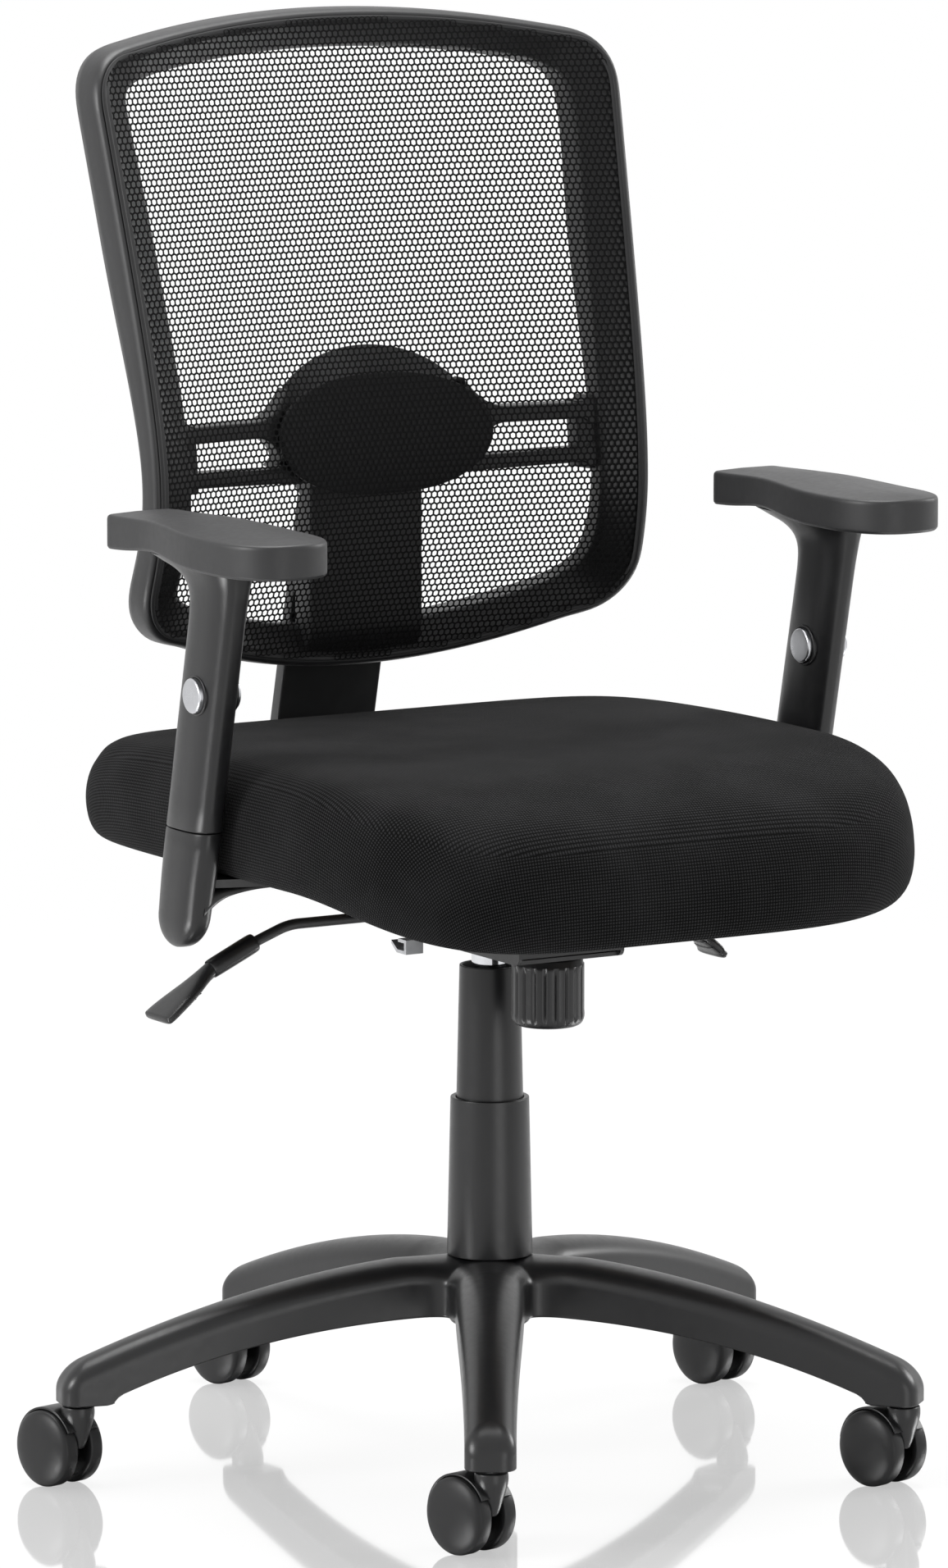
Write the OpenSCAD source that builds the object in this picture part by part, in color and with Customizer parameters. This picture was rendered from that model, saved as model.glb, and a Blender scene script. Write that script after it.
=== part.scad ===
// Swivel office chair: five-star base, telescopic gas column, synchro tilt mechanism,
// height-adjustable arms, upholstered seat and a net back on a moulded frame.
// Origin: floor level on the column axis. +Z is up and the sitter faces -Y.

/* [Base and casters] */
// Radius of the circle of caster stems
stem_circle_r = 325; // [290:1:350]
// Turn of the star about the column, degrees
base_turn = 59; // [0:1:72]
// Height of the hub's top face
hub_top_z = 159; // [150:1:170]
// Underside of the arm ends, where the caster stems enter
arm_end_z = 65; // [60:1:72]
// Width of a base arm at the hub
arm_root_w = 52; // [46:1:60]
// Width of a base arm at its end
arm_tip_w = 38; // [34:1:46]
// Wall of the moulded base arm
base_wall = 4.5; // [3.5:0.5:6]
// Diameter of a caster wheel
wheel_d = 58; // [50:1:60]
// Overall width of one caster over both wheels
caster_w = 46; // [42:1:52]
// Gap between the two wheels of a caster
wheel_gap = 13; // [11:0.5:16]
// Distance from the stem's axis back to the axle
caster_trail = 20; // [16:1:24]
// Direction in which all casters trail, degrees from +X
caster_heading = 103; // [0:1:359]
// Diameter of the caster stem
stem_d = 11; // [10:0.5:12]
// Diameter of the wheel axle
axle_d = 6; // [5:0.5:8]

/* [Column] */
// Diameter of the chromed gas cylinder
cylinder_d = 28; // [24:1:30]
// Outer diameter of the stand tube
stand_d = 42; // [40:0.5:43]
// Diameter of the piston rod
rod_d = 10; // [8:1:12]
// Line where the upper cover enters the lower one
cover_line_z = 280; // [260:1:290]
// Top of the upper cover
cover_top_z = 381; // [370:1:390]
// Outer diameter of the lower cover at its foot
lower_cover_d = 65; // [62:0.5:68]
// Outer diameter of the upper cover at the line
upper_cover_d = 51; // [49:0.5:52]
// Wall of the two plastic covers
cover_wall = 1.8; // [1.2:0.1:2]

/* [Tilt mechanism] */
// Half width of the mechanism housing
housing_half_w = 46; // [42:1:50]
// Thickness of the pressed steel parts
steel_t = 3; // [2:0.5:3.5]
// Underside of the housing
housing_z = 400; // [396:1:404]
// Main shaft, on which the back swings: distance behind the column
main_y = 40; // [36:1:44]
// Height of the main shaft
main_z = 424; // [420:1:426]
// Front shaft, on which the seat plate tilts: distance in front of the column
front_y = 85; // [80:1:90]
// Height of the front shaft
front_z = 447; // [444:1:450]
// Diameter of the two shafts
shaft_d = 12; // [10:1:14]
// Diameter of the link pin between back and seat plate
link_d = 8; // [6:1:10]
// Diameter of the tension knob
knob_d = 55; // [50:1:60]
// Height of the tension knob
knob_h = 55; // [45:1:58]

/* [Seat] */
// Width of the cushion
seat_w = 500; // [460:5:520]
// Depth of the cushion
seat_depth = 528; // [500:4:540]
// How far the cushion's middle lies in front of the column
seat_forward = 24; // [20:1:40]
// Top of the cushion
seat_top_z = 558; // [545:1:570]
// Top of the mechanism's seat plate, where the seat board rests
board_z = 470; // [466:1:476]
// Thickness of the seat board
board_t = 12; // [9:1:15]

/* [Arms] */
// Gap between the cushion's widest line and each upright
arm_clear = 1.5; // [1:0.5:20]
// Forward lean of the uprights, degrees
arm_lean = 12.7; // [6:0.1:15]
// Top of the arm pads
pad_top_z = 735; // [710:1:760]
// Thickness of the arm pads
pad_t = 26; // [20:1:30]
// Depth of an upright, front to back
upright_depth = 60; // [52:1:66]
// Thickness of an upright
upright_t = 27; // [24:1:32]
// Height of the line between the bracket and the sliding sleeve
sleeve_z = 508; // [500:1:520]

/* [Back] */
// Half width of the back's rim at its waist
back_half_w = 214; // [195:1:225]
// Top of the rim in the middle
back_top_z = 1082; // [1020:1:1120]
// Bottom of the rim in the middle
back_bottom_z = 590; // [580:1:610]
// Distance of the side rims behind the column at the waist
back_y = 122; // [110:1:135]
// How much deeper the net lies in the middle than at its side rims
back_wrap = 28; // [15:1:35]
// Depth of the frame, rim to rear edge
frame_depth = 38; // [32:1:44]
// Width of the frame's rails
rail_w = 34; // [28:1:40]
// Width of the flat back bar
bar_w = 88; // [80:1:94]
// Thickness of the back bar
bar_t = 12; // [10:1:14]

/* [Hidden] */
$fn = 64;
eps = 0.01;
running = 0.05;          // radial clearance of a shaft in its hole
loose = 0.3;             // gap between faces that pass each other
caster_count = 5;
arm_step = 360 / caster_count;
stem_angles = [for (i = [0:caster_count - 1]) base_turn + 180 + i * arm_step];
wheel_r = wheel_d / 2;
arm_x = seat_w / 2 + arm_clear + upright_t / 2;  // middle plane of each arm
wheel_w = (caster_w - wheel_gap) / 2;

plastic = [0.16, 0.16, 0.17];
steel = [0.55, 0.56, 0.58];
black_steel = [0.12, 0.12, 0.13];
chrome = [0.85, 0.86, 0.88];
fabric = [0.09, 0.09, 0.1];

// ---------------------------------------------------------------- general shapes

function mix(a, b, t) = a + (b - a) * t;
function clamp01(t) = min(1, max(0, t));
function smooth(t) = let (u = clamp01(t)) u * u * (3 - 2 * u);

// Faces of a closed body between two equal grids of points, front and back.
function grid_faces(rows, cols) = let (n = rows * cols) concat(
    [for (i = [0:rows - 2], j = [0:cols - 2], k = [0, 1]) let (a = i * cols + j)
        k == 0 ? [a, a + cols + 1, a + 1] : [a, a + cols, a + cols + 1]],
    [for (i = [0:rows - 2], j = [0:cols - 2], k = [0, 1]) let (a = n + i * cols + j)
        k == 0 ? [a, a + 1, a + cols + 1] : [a, a + cols + 1, a + cols]],
    [for (j = [0:cols - 2], k = [0, 1]) k == 0 ? [j, j + 1, n + j] : [j + 1, n + j + 1, n + j]],
    [for (j = [0:cols - 2], k = [0, 1]) let (a = (rows - 1) * cols + j)
        k == 0 ? [a + 1, a, n + a] : [a + 1, n + a, n + a + 1]],
    [for (i = [0:rows - 2], k = [0, 1]) let (a = i * cols)
        k == 0 ? [a + cols, a, n + a] : [a + cols, n + a, n + a + cols]],
    [for (i = [0:rows - 2], k = [0, 1]) let (a = i * cols + cols - 1)
        k == 0 ? [a, a + cols, n + a] : [a + cols, n + a + cols, n + a]]);

module sheet(front, back) {
    rows = len(front);
    cols = len(front[0]);
    polyhedron([for (g = [front, back], r = g, p = r) p], grid_faces(rows, cols));
}

// Body lofted through rings of equal length. closed joins the last ring to the first.
function ring_faces(rings, n, closed) = concat(
    [for (i = [0:(closed ? rings - 1 : rings - 2)], j = [0:n - 1], k = [0, 1])
        let (a = i * n + j, b = i * n + (j + 1) % n,
            c = ((i + 1) % rings) * n + (j + 1) % n, d = ((i + 1) % rings) * n + j)
        k == 0 ? [a, c, b] : [a, d, c]],
    closed ? [] : [[for (j = [0:n - 1]) j], [for (j = [n - 1:-1:0]) (rings - 1) * n + j]]);

module loft(rings, closed = false) {
    polyhedron([for (r = rings, p = r) p], ring_faces(len(rings), len(rings[0]), closed));
}

// A superellipse outline, counter-clockwise.
function super_pt(a, b, e, t) = [
    a * sign(cos(t)) * pow(abs(cos(t)), 2 / e),
    b * sign(sin(t)) * pow(abs(sin(t)), 2 / e)];

module tube_z(z0, z1, d_out, d_in) {
    translate([0, 0, z0]) difference() {
        cylinder(h = z1 - z0, d = d_out);
        translate([0, 0, -1]) cylinder(h = z1 - z0 + 2, d = d_in);
    }
}

module along_x(x0, x1, y, z, d) {
    translate([x0, y, z]) rotate([0, 90, 0]) cylinder(h = x1 - x0, d = d);
}

// A plate of thickness t whose outline is drawn in the Y-Z plane, from x0 towards +X.
module side_plate(x0, t) {
    translate([x0, 0, 0]) rotate([90, 0, 90]) linear_extrude(t) children();
}

// ---------------------------------------------------------------- star base

// Height of the arm's top and underside at distance r from the axis.
function arm_top(r) = min(hub_top_z, hub_top_z + 2 - 0.0023 * pow(max(0, r - 30), 1.8));
function arm_low(r) = r > stem_circle_r - 24 ? arm_end_z
    : mix(118, arm_end_z + 6, pow(clamp01((r - 34) / (stem_circle_r - 60)), 2.2));
function arm_half_w(r) = mix(arm_root_w, arm_tip_w, smooth((r - 40) / (stem_circle_r - 60))) / 2
    + 13 * pow(1 - clamp01((r - 20) / 48), 2);
arm_end_r = stem_circle_r + 14;

// Section of the arm at distance r: flat sides that lean in, a crowned top.
function arm_ring(r, w, top, low) = [for (p = [[-1, 0], [1, 0], [1, 0.55], [0.95, 0.72],
    [0.78, 0.86], [0.46, 0.96], [0, 1], [-0.46, 0.96], [-0.78, 0.86], [-0.95, 0.72], [-1, 0.55]])
    [r, p[0] * w, mix(low, top, p[1])]];

module base_arm() {
    steps = 15;
    end_round = 7;
    rings = concat(
        [for (i = [0:steps]) let (r = mix(12, arm_end_r - end_round, i / steps))
            arm_ring(r, arm_half_w(r), arm_top(r), arm_low(r))],
        [for (a = [30, 60, 90]) let (r = arm_end_r - end_round * (1 - sin(a)),
            inset = end_round * (1 - cos(a)))
            arm_ring(r, arm_half_w(r) - inset, arm_top(r) - inset, arm_low(r))]);
    loft(rings);
}

rib_r = [62, 108, 154, 200, 246, 292];

module arm_pockets() {
    rib_t = 3;
    for (i = [0:len(rib_r) - 2]) {
        r0 = rib_r[i] + rib_t / 2;
        r1 = rib_r[i + 1] - rib_t / 2;
        w0 = arm_half_w(r0) - base_wall;
        w1 = arm_half_w(r1) - base_wall;
        intersection() {
            translate([0, 0, arm_end_z - 5]) linear_extrude(hub_top_z)
                polygon([[r0, -w0], [r1, -w1], [r1, w1], [r0, w0]]);
            translate([0, arm_root_w, 0]) rotate([90, 0, 0]) linear_extrude(2 * arm_root_w)
                polygon([[r0, arm_end_z - 9], [r1, arm_end_z - 9],
                    [r1, arm_top(r1) - base_wall - 6], [r0, arm_top(r0) - base_wall - 6]]);
        }
    }
}

module star_base() {
    socket_depth = 26;
    color(plastic) difference() {
        union() {
            rotate_extrude() polygon([[0, 106], [29, 106], [33, 112], [36, 120],
                [37, 148], [36, hub_top_z - 3], [33, hub_top_z + 0.05], [0, hub_top_z + 0.05]]);
            for (a = stem_angles) rotate(a) base_arm();
        }
        for (a = stem_angles) rotate(a) {
            arm_pockets();
            translate([stem_circle_r, 0, arm_end_z - 1])
                cylinder(h = socket_depth + 1, d = stem_d + 2 * running);
        }
        translate([0, 0, 80]) cylinder(h = 100, d = stand_d + 2 * running);
    }
}

// ---------------------------------------------------------------- gas column

tube_foot_z = 58;
tube_top_z = 258;
tube_wall = 1.5;
tube_bore = stand_d - 2 * tube_wall;
sleeve_foot_z = 180;
cyl_foot_z = 166;
cyl_top_z = 428;
cone_z = 392;
cone_top_d = cylinder_d - 1.6;
rod_head_z = cyl_foot_z + 20;
bearing_z = tube_foot_z + 4;

module stand_tube() {
    color(black_steel) difference() {
        rotate_extrude() polygon([[rod_d / 2 + 1, tube_foot_z], [stand_d / 2 - 1, tube_foot_z],
            [stand_d / 2, tube_foot_z + 1], [stand_d / 2, tube_top_z], [tube_bore / 2, tube_top_z],
            [tube_bore / 2, tube_foot_z + 4], [rod_d / 2 + 1, tube_foot_z + 4]]);
    }
}

module guide_sleeve() {
    collar = 2;
    color([0.8, 0.8, 0.76]) rotate_extrude() polygon([
        [cylinder_d / 2 + running, sleeve_foot_z], [tube_bore / 2 - running, sleeve_foot_z],
        [tube_bore / 2 - running, tube_top_z], [stand_d / 2 - 0.5, tube_top_z],
        [stand_d / 2 - 0.5, tube_top_z + collar], [cylinder_d / 2 + running, tube_top_z + collar]]);
}

module thrust_bearing() {
    race_t = 2;
    ball_d = 5;
    race_d = 30;
    color(steel) {
        tube_z(bearing_z, bearing_z + race_t, race_d, rod_d + 1);
        for (a = [0:30:330]) rotate(a)
            translate([10, 0, bearing_z + race_t + ball_d / 2 - 0.1]) sphere(d = ball_d, $fn = 24);
        tube_z(bearing_z + race_t + ball_d - 0.2, bearing_z + 2 * race_t + ball_d - 0.2,
            race_d, rod_d + 1);
    }
}

rod_collar_z = bearing_z + 9 + loose;

module piston_rod() {
    color(chrome) rotate_extrude() polygon([[0, tube_foot_z + 1], [rod_d / 2, tube_foot_z + 1],
        [rod_d / 2, rod_collar_z], [13, rod_collar_z], [13, rod_collar_z + 3],
        [rod_d / 2, rod_collar_z + 3], [rod_d / 2, rod_head_z],
        [11, rod_head_z], [11, rod_head_z + 12], [0, rod_head_z + 12]]);
}

module gas_cylinder() {
    bore = 23;
    color(chrome) difference() {
        rotate_extrude() polygon([[0, cyl_foot_z], [cylinder_d / 2 - 0.6, cyl_foot_z],
            [cylinder_d / 2, cyl_foot_z + 0.6], [cylinder_d / 2, cone_z],
            [cone_top_d / 2, cyl_top_z], [0, cyl_top_z]]);
        translate([0, 0, cyl_foot_z - 1]) cylinder(h = 20, d = rod_d + 2 * running);
        translate([0, 0, cyl_foot_z + 8]) cylinder(h = 150, d = bore);
        translate([0, 0, cyl_top_z - 12]) cylinder(h = 13, d = 8 + 2 * running);
    }
}

module lower_cover() {
    lip = 2.5;
    foot_r = lower_cover_d / 2;
    top_r = lower_cover_d / 2 - 2.7;
    color(plastic) rotate_extrude() polygon([[foot_r - cover_wall, hub_top_z + 0.1],
        [foot_r - 0.5, hub_top_z + 0.1], [foot_r, hub_top_z + 0.8],
        [top_r, cover_line_z - 1.2], [top_r - 1.2, cover_line_z],
        [upper_cover_d / 2 + loose, cover_line_z], [upper_cover_d / 2 + loose, cover_line_z - lip],
        [top_r - cover_wall, cover_line_z - lip]]);
}

module upper_cover() {
    foot_z = cover_line_z - 18;
    bead = 1.6;
    foot_r = upper_cover_d / 2 + 0.1;
    top_r = upper_cover_d / 2 - 2.6;
    color(plastic) rotate_extrude() polygon([[foot_r - cover_wall, foot_z],
        [foot_r + bead, foot_z], [foot_r + bead, foot_z + 2.5], [foot_r, foot_z + 4],
        [top_r, cover_top_z - 3], [top_r - 2, cover_top_z], [cylinder_d / 2 + running, cover_top_z],
        [cylinder_d / 2 + running, cover_top_z - 10], [top_r - cover_wall - 3, cover_top_z - 10],
        [top_r - cover_wall, cover_top_z - 13]]);
}

module valve_pin() {
    color(steel) translate([0, 0, cyl_top_z - 6]) cylinder(h = 11, d = 8);
}

// ---------------------------------------------------------------- tilt mechanism

housing_front = 118;
housing_rear = 64;
ear_r = 12;
spring_y = -84;
knob_top_z = housing_z + 2;

module housing_side() {
    hull() {
        translate([-housing_front + 6, housing_z + 6]) circle(6);
        translate([housing_rear - 6, housing_z + 6]) circle(6);
        translate([main_y, main_z]) circle(ear_r);
        translate([0, lever_z]) circle(8);
        translate([-housing_front + 6, 432]) circle(6);
    }
    hull() {
        translate([-front_y, front_z]) circle(ear_r - 1);
        translate([-front_y - 10, 425]) square([36, 10]);
    }
}

module tilt_housing() {
    w = housing_half_w;
    color(black_steel) difference() {
        union() {
            for (x = [-w, w - steel_t]) side_plate(x, steel_t) housing_side();
            translate([-w + 1, -housing_front + 5, housing_z])
                cube([2 * w - 2, housing_front + housing_rear - 10, steel_t]);
            translate([-w + 1, -housing_front, housing_z + 5]) cube([2 * w - 2, steel_t, 30]);
            translate([0, 0, cone_z]) cylinder(h = cyl_top_z - cone_z - 2, d = 44);
        }
        translate([0, 0, cone_z - 0.5]) cylinder(h = cyl_top_z - cone_z + 1,
            r1 = cylinder_d / 2 + 0.02 + 0.011, r2 = cone_top_d / 2 + 0.02 - 0.011, $fn = 96);
        along_x(-w - 1, w + 1, main_y, main_z, shaft_d + 2 * running);
        along_x(-w - 1, w + 1, -front_y, front_z, shaft_d + 2 * running);
        along_x(-w - 1, 0, 0, lever_z, lever_d + 1.6);
        along_x(0, w + 1, lock_y, lock_z, lever_d + 1.6);
        translate([0, spring_y, housing_z - 1]) cylinder(h = steel_t + 2, d = screw_d + 2 * running);
    }
}

module tilt_shafts() {
    reach = housing_half_w + 17;
    color(steel) {
        along_x(-reach, reach, main_y, main_z, shaft_d);
        along_x(-reach, reach, -front_y, front_z, shaft_d);
    }
}

// Plated bracket under the housing that the lock lever's latch bears on.
module stop_bracket() {
    z = housing_z;
    color(steel) translate([-housing_half_w - 12, 0, 0]) rotate([90, 0, 90]) linear_extrude(15)
        polygon([[26, z - 0.1], [26, z - 11], [40, z - 11], [48, z - 5], [48, z - 2.5],
            [39, z - 8.5], [29, z - 8.5], [29, z - 2.6], [38, z - 2.6], [38, z - 0.1]]);
}

screw_d = 10;
nut_z = housing_z + 26;
spring_wire = 5;
spring_mean_r = 15;

module tension_knob() {
    low_r = knob_d / 2;
    flutes = 20;
    corner = 9;
    band = 7;
    z0 = knob_top_z - knob_h;
    color(plastic) translate([0, spring_y, 0]) {
        intersection() {
            rotate_extrude() polygon(concat([[0, z0]],
                [for (a = [-90:15:0]) [low_r - corner + corner * cos(a), z0 + corner + corner * sin(a)]],
                [[low_r - 0.6, knob_top_z - band + 1], [0, knob_top_z - band + 1]]));
            translate([0, 0, z0 - 1]) linear_extrude(knob_h) difference() {
                circle(low_r + 1);
                for (i = [0:flutes - 1]) rotate((i + 0.5) * 360 / flutes)
                    translate([low_r + 1.6, 0]) circle(r = 2.6, $fn = 24);
            }
        }
        rotate_extrude() polygon([[0, knob_top_z - band], [low_r - 1.2, knob_top_z - band],
            [low_r - 1.2, knob_top_z - 4], [low_r - 2.2, knob_top_z - 3], [0, knob_top_z - 3]]);
        translate([0, 0, z0 + 10]) cylinder(h = nut_z + 10 - z0 - 10, d = screw_d);
    }
}

module tension_nut() {
    color(steel) translate([0, spring_y, nut_z]) difference() {
        cylinder(h = 6, d = 42, $fn = 8);
        translate([0, 0, -1]) cylinder(h = 8, d = screw_d + 2 * running);
    }
}

// Coil of the tension spring: a round wire carried along a helix by formula.
module tension_spring() {
    turns = 3;
    seg = 16;
    z0 = housing_z + steel_t + spring_wire / 2;
    rise = nut_z - spring_wire - housing_z - steel_t;
    color(steel) translate([0, spring_y, 0]) loft([for (i = [0:turns * seg]) let (a = i * 360 / seg,
        z = z0 + rise * i / (turns * seg))
        [for (b = [315:-45:0]) let (r = spring_mean_r + spring_wire / 2 * cos(b))
            [r * cos(a), r * sin(a), z + spring_wire / 2 * sin(b)]]]);
}

// ---------------------------------------------------------------- levers

lever_d = 8;
lever_z = 437;
lock_y = -30;
lock_z = 430;
// Bends of the two rods, as x and z in their own planes.
gas_bends = [[4, lever_z], [-64, lever_z], [-84, 426], [-175, 426], [-205, 415], [-246, 396]];
lock_bends = [[14, lock_z], [64, lock_z], [84, 424], [120, 420], [144, 409], [158, 402]];

// The rod's middle line with each bend rounded, as points and directions.
function rod_line(bends) = let (n = len(bends), r = 14) concat([bends[0]],
    [for (i = [1:n - 2], k = [0:3]) let (
        p = bends[i], u = unit(p - bends[i - 1]), v = unit(bends[i + 1] - p),
        turn = acos(u * v), cut = r * tan(turn / 2), side = sign(u[0] * v[1] - u[1] * v[0]),
        c = p - u * cut + side * r * [-u[1], u[0]], a = side * turn * k / 3)
        c + side * r * [u[1] * cos(a) + u[0] * sin(a), -u[0] * cos(a) + u[1] * sin(a)]],
    [bends[n - 1]]);
function unit(v) = v / norm(v);

module bent_rod(bends, y) {
    l = rod_line(bends);
    n = len(l);
    loft([for (i = [0:n - 1]) let (d = unit(l[min(n - 1, i + 1)] - l[max(0, i - 1)]),
        s = sign(d[0]), up = [-d[1] * s, d[0] * s] * lever_d / 2)
        [for (t = [0:30:330]) [l[i][0] + up[0] * sin(t) * s, y + lever_d / 2 * cos(t),
            l[i][1] + up[1] * sin(t) * s]]]);
}

// A grip on the end of a rod: a round sleeve that runs out into a flat, slightly cupped paddle.
module paddle(from, to, reach, y) {
    dir = (to - from) / norm(to - from);
    up = [-dir[1] * sign(dir[0]), dir[0] * sign(dir[0])];
    grip = min(40, reach * 0.45);
    // Distance along, half width, half thickness and droop.
    stations = [[0, 6.5, 6.5, 0], [grip * 0.3, 6.8, 6.6, 0], [grip * 0.75, 7.2, 6.4, 0],
        [grip, 9, 5.6, -0.6], [mix(grip, reach, 0.2), 14, 4.2, -2], [mix(grip, reach, 0.45), 18, 3.2, -4.4],
        [reach - 8, 19, 2.6, -8.2], [reach - 2, 15, 2.2, -9.4], [reach, 10, 1.6, -9.8]];
    loft([for (s = stations) [for (t = [0:22.5:337.5])
        let (c = from + dir * s[0] + up * (s[3] + s[2] * sin(t) * sign(dir[0])))
        [c[0], y + s[1] * cos(t), c[1]]]]);
}

module gas_lever() { color(black_steel) bent_rod(gas_bends, 0); }
module gas_paddle() {
    color(plastic) difference() {
        paddle(gas_bends[4], gas_bends[5], 96, 0);
        bent_rod([gas_bends[3], gas_bends[4], gas_bends[5] + [-0.5, 0]], 0);
    }
}
module lock_lever() { color(black_steel) bent_rod(lock_bends, lock_y); }
module lock_paddle() {
    color(plastic) difference() {
        paddle(lock_bends[4], lock_bends[5], 48, lock_y);
        bent_rod([lock_bends[3], lock_bends[4], lock_bends[5] + [0.5, 0]], lock_y);
    }
}

// ---------------------------------------------------------------- back bracket and bar

link_y = 2 * main_y + front_y;
link_z = 445;
bracket_x = housing_half_w + 3;
bracket_t = 4;

module back_bracket() {
    cross_y = 138;
    color(black_steel) difference() {
        union() {
            for (x = [-bracket_x - bracket_t, bracket_x]) side_plate(x, bracket_t) {
                hull() {
                    translate([main_y, main_z]) circle(14);
                    translate([link_y, 428]) circle(12);
                }
                hull() {
                    translate([link_y, 428]) circle(12);
                    translate([link_y, link_z]) circle(9);
                }
            }
            translate([-bracket_x - 1, cross_y, bar_seat_z]) cube([2 * bracket_x + 2, 50, 5]);
        }
        along_x(-bracket_x - 9, bracket_x + 9, main_y, main_z, shaft_d + 2 * running);
        along_x(-bracket_x - 9, bracket_x + 9, link_y, link_z, link_d);
        for (x = [-25, 25], y = [150, 176]) translate([x, y, bar_seat_z - 1])
            cylinder(h = 8, d = 8.5);
    }
}

module link_pin() {
    reach = bracket_x + bracket_t + 10;
    color(steel) for (s = [-1, 1]) mirror([s < 0 ? 1 : 0, 0, 0])
        along_x(bracket_x, reach, link_y, link_z, link_d - 0.02);
}

bar_seat_z = 421;
bar_bend_r = 46;
bar_rear_y = 254;
bar_lean = 13.5;
bar_top_z = 716;

// Middle line of the bar's side view: a flat foot, a round bend and a leaning upright.
function bar_line() = let (
    zc = bar_seat_z - bar_t / 2 + bar_bend_r,
    yc = bar_rear_y + bar_t / 2 + 8 - bar_bend_r,
    tip = [yc + bar_bend_r * cos(bar_lean), zc + bar_bend_r * sin(bar_lean)],
    rise = (bar_top_z - tip[1]) / cos(bar_lean))
    concat([[138, zc - bar_bend_r]],
        [for (a = [-90:10:0]) [yc + bar_bend_r * cos(a), zc + bar_bend_r * sin(a)]],
        [tip, tip + rise * [-sin(bar_lean), cos(bar_lean)]]);

function line_normal(l, i) = let (
    a = l[max(0, i - 1)], b = l[min(len(l) - 1, i + 1)], d = (b - a) / norm(b - a)) [-d[1], d[0]];

module back_bar() {
    l = bar_line();
    color(black_steel) difference() {
        translate([-bar_w / 2, 0, 0]) rotate([90, 0, 90]) linear_extrude(bar_w) polygon(concat(
            [for (i = [0:len(l) - 1]) l[i] + line_normal(l, i) * bar_t / 2],
            [for (i = [len(l) - 1:-1:0]) l[i] - line_normal(l, i) * bar_t / 2]));
        for (x = [-25, 25], y = [150, 176]) translate([x, y, bar_seat_z - 20])
            cylinder(h = 30, d = 8.5);
        for (x = [-24, 24], z = bar_bolt_z) translate([x, 150, z]) rotate([-90, 0, 0])
            cylinder(h = 120, d = 8.5);
    }
}

bar_bolt_z = [655, 697];

module bolt(d, len, head_d, head_h) {
    cylinder(h = head_h, d = head_d);
    translate([0, 0, head_h - eps]) cylinder(h = len + eps, d = d);
}

module back_bolts() {
    color(steel) {
        for (x = [-25, 25], y = [150, 176])
            translate([x, y, bar_seat_z - bar_t - 5.5]) bolt(8, bar_t + 9.5, 14, 5.5);
        for (x = [-24, 24], z = bar_bolt_z) translate([x, bar_front(z) + bar_t + 5 + 5.5, z])
            rotate([90, 0, 0]) bolt(8, bar_t + 16, 14, 5.5);
    }
}

// Front face of the bar's upright at height z.
function bar_front(z) = let (l = bar_line(), t = l[len(l) - 1])
    t[0] + (t[1] - z) * tan(bar_lean) - bar_t / 2 / cos(bar_lean);

// ---------------------------------------------------------------- seat

module seat_plate() {
    flange_x = bracket_x + bracket_t + 3;
    half_w = 95;
    y0 = -150;
    y1 = 160;
    under = board_z - 4;
    slot = 5;
    color(black_steel) difference() {
        union() {
            translate([0, 0, under]) linear_extrude(4) hull() for (x = [-1, 1], y = [y0 + 12, y1 - 12])
                translate([x * (half_w - 12), y]) circle(12);
            for (x = [-flange_x - steel_t, flange_x]) side_plate(x, steel_t) {
                hull() {
                    translate([-front_y, front_z]) circle(ear_r);
                    translate([-front_y - 20, under - 2]) square([40, 4]);
                }
                translate([-front_y, under - 6]) square([link_y + front_y + 12, 8]);
                hull() {
                    translate([link_y - 4, link_z - 1]) circle(11);
                    translate([link_y + 8, link_z - 1]) circle(11);
                    translate([link_y - 22, under - 2]) square([44, 4]);
                }
            }
        }
        along_x(-flange_x - 9, flange_x + 9, -front_y, front_z, shaft_d + 2 * running);
        side_plate(-flange_x - 9, 2 * flange_x + 18) hull() {
            translate([link_y - 1, link_z]) circle(link_d / 2 + 0.25);
            translate([link_y + slot, link_z]) circle(link_d / 2 + 0.25);
        }
        translate([0, 0, under - 1]) linear_extrude(8) hull() for (y = [-55, 55])
            translate([0, y]) circle(30);
        for (x = [-80, 80], y = seat_bolt_y) translate([x, y, under - 1]) cylinder(h = 8, d = 8.5);
    }
}

seat_bolt_y = [-130, 140];
front_square = 4.4;      // squareness of the front corners
rear_square = 7;         // squareness of the rear corners

function seat_pt(s, t) = super_pt(seat_w / 2 * s, seat_depth / 2 * s,
    t < 180 ? rear_square : front_square, t) + [0, -seat_forward];

module seat_board() {
    share = 0.88;
    color([0.55, 0.42, 0.28]) difference() {
        translate([0, 0, board_z]) linear_extrude(board_t)
            polygon([for (t = [3.75:7.5:356.25]) seat_pt(share, t)]);
        for (x = [-80, 80], y = seat_bolt_y) translate([x, y, board_z - 1])
            cylinder(h = 9, d = 6.6);
        for (s = [-1, 1], p = arm_bolts) translate([s * p[0], p[1], board_z - 1])
            cylinder(h = 9, d = 6.6);
    }
}

// Droop of the front edge, and the gentle fall of the top towards the rear.
function seat_drop(y) = -40 * pow(clamp01((-y - 110) / 175), 2);
function seat_fall(y) = -0.00014 * pow(max(0, y + 60), 2);

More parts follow.
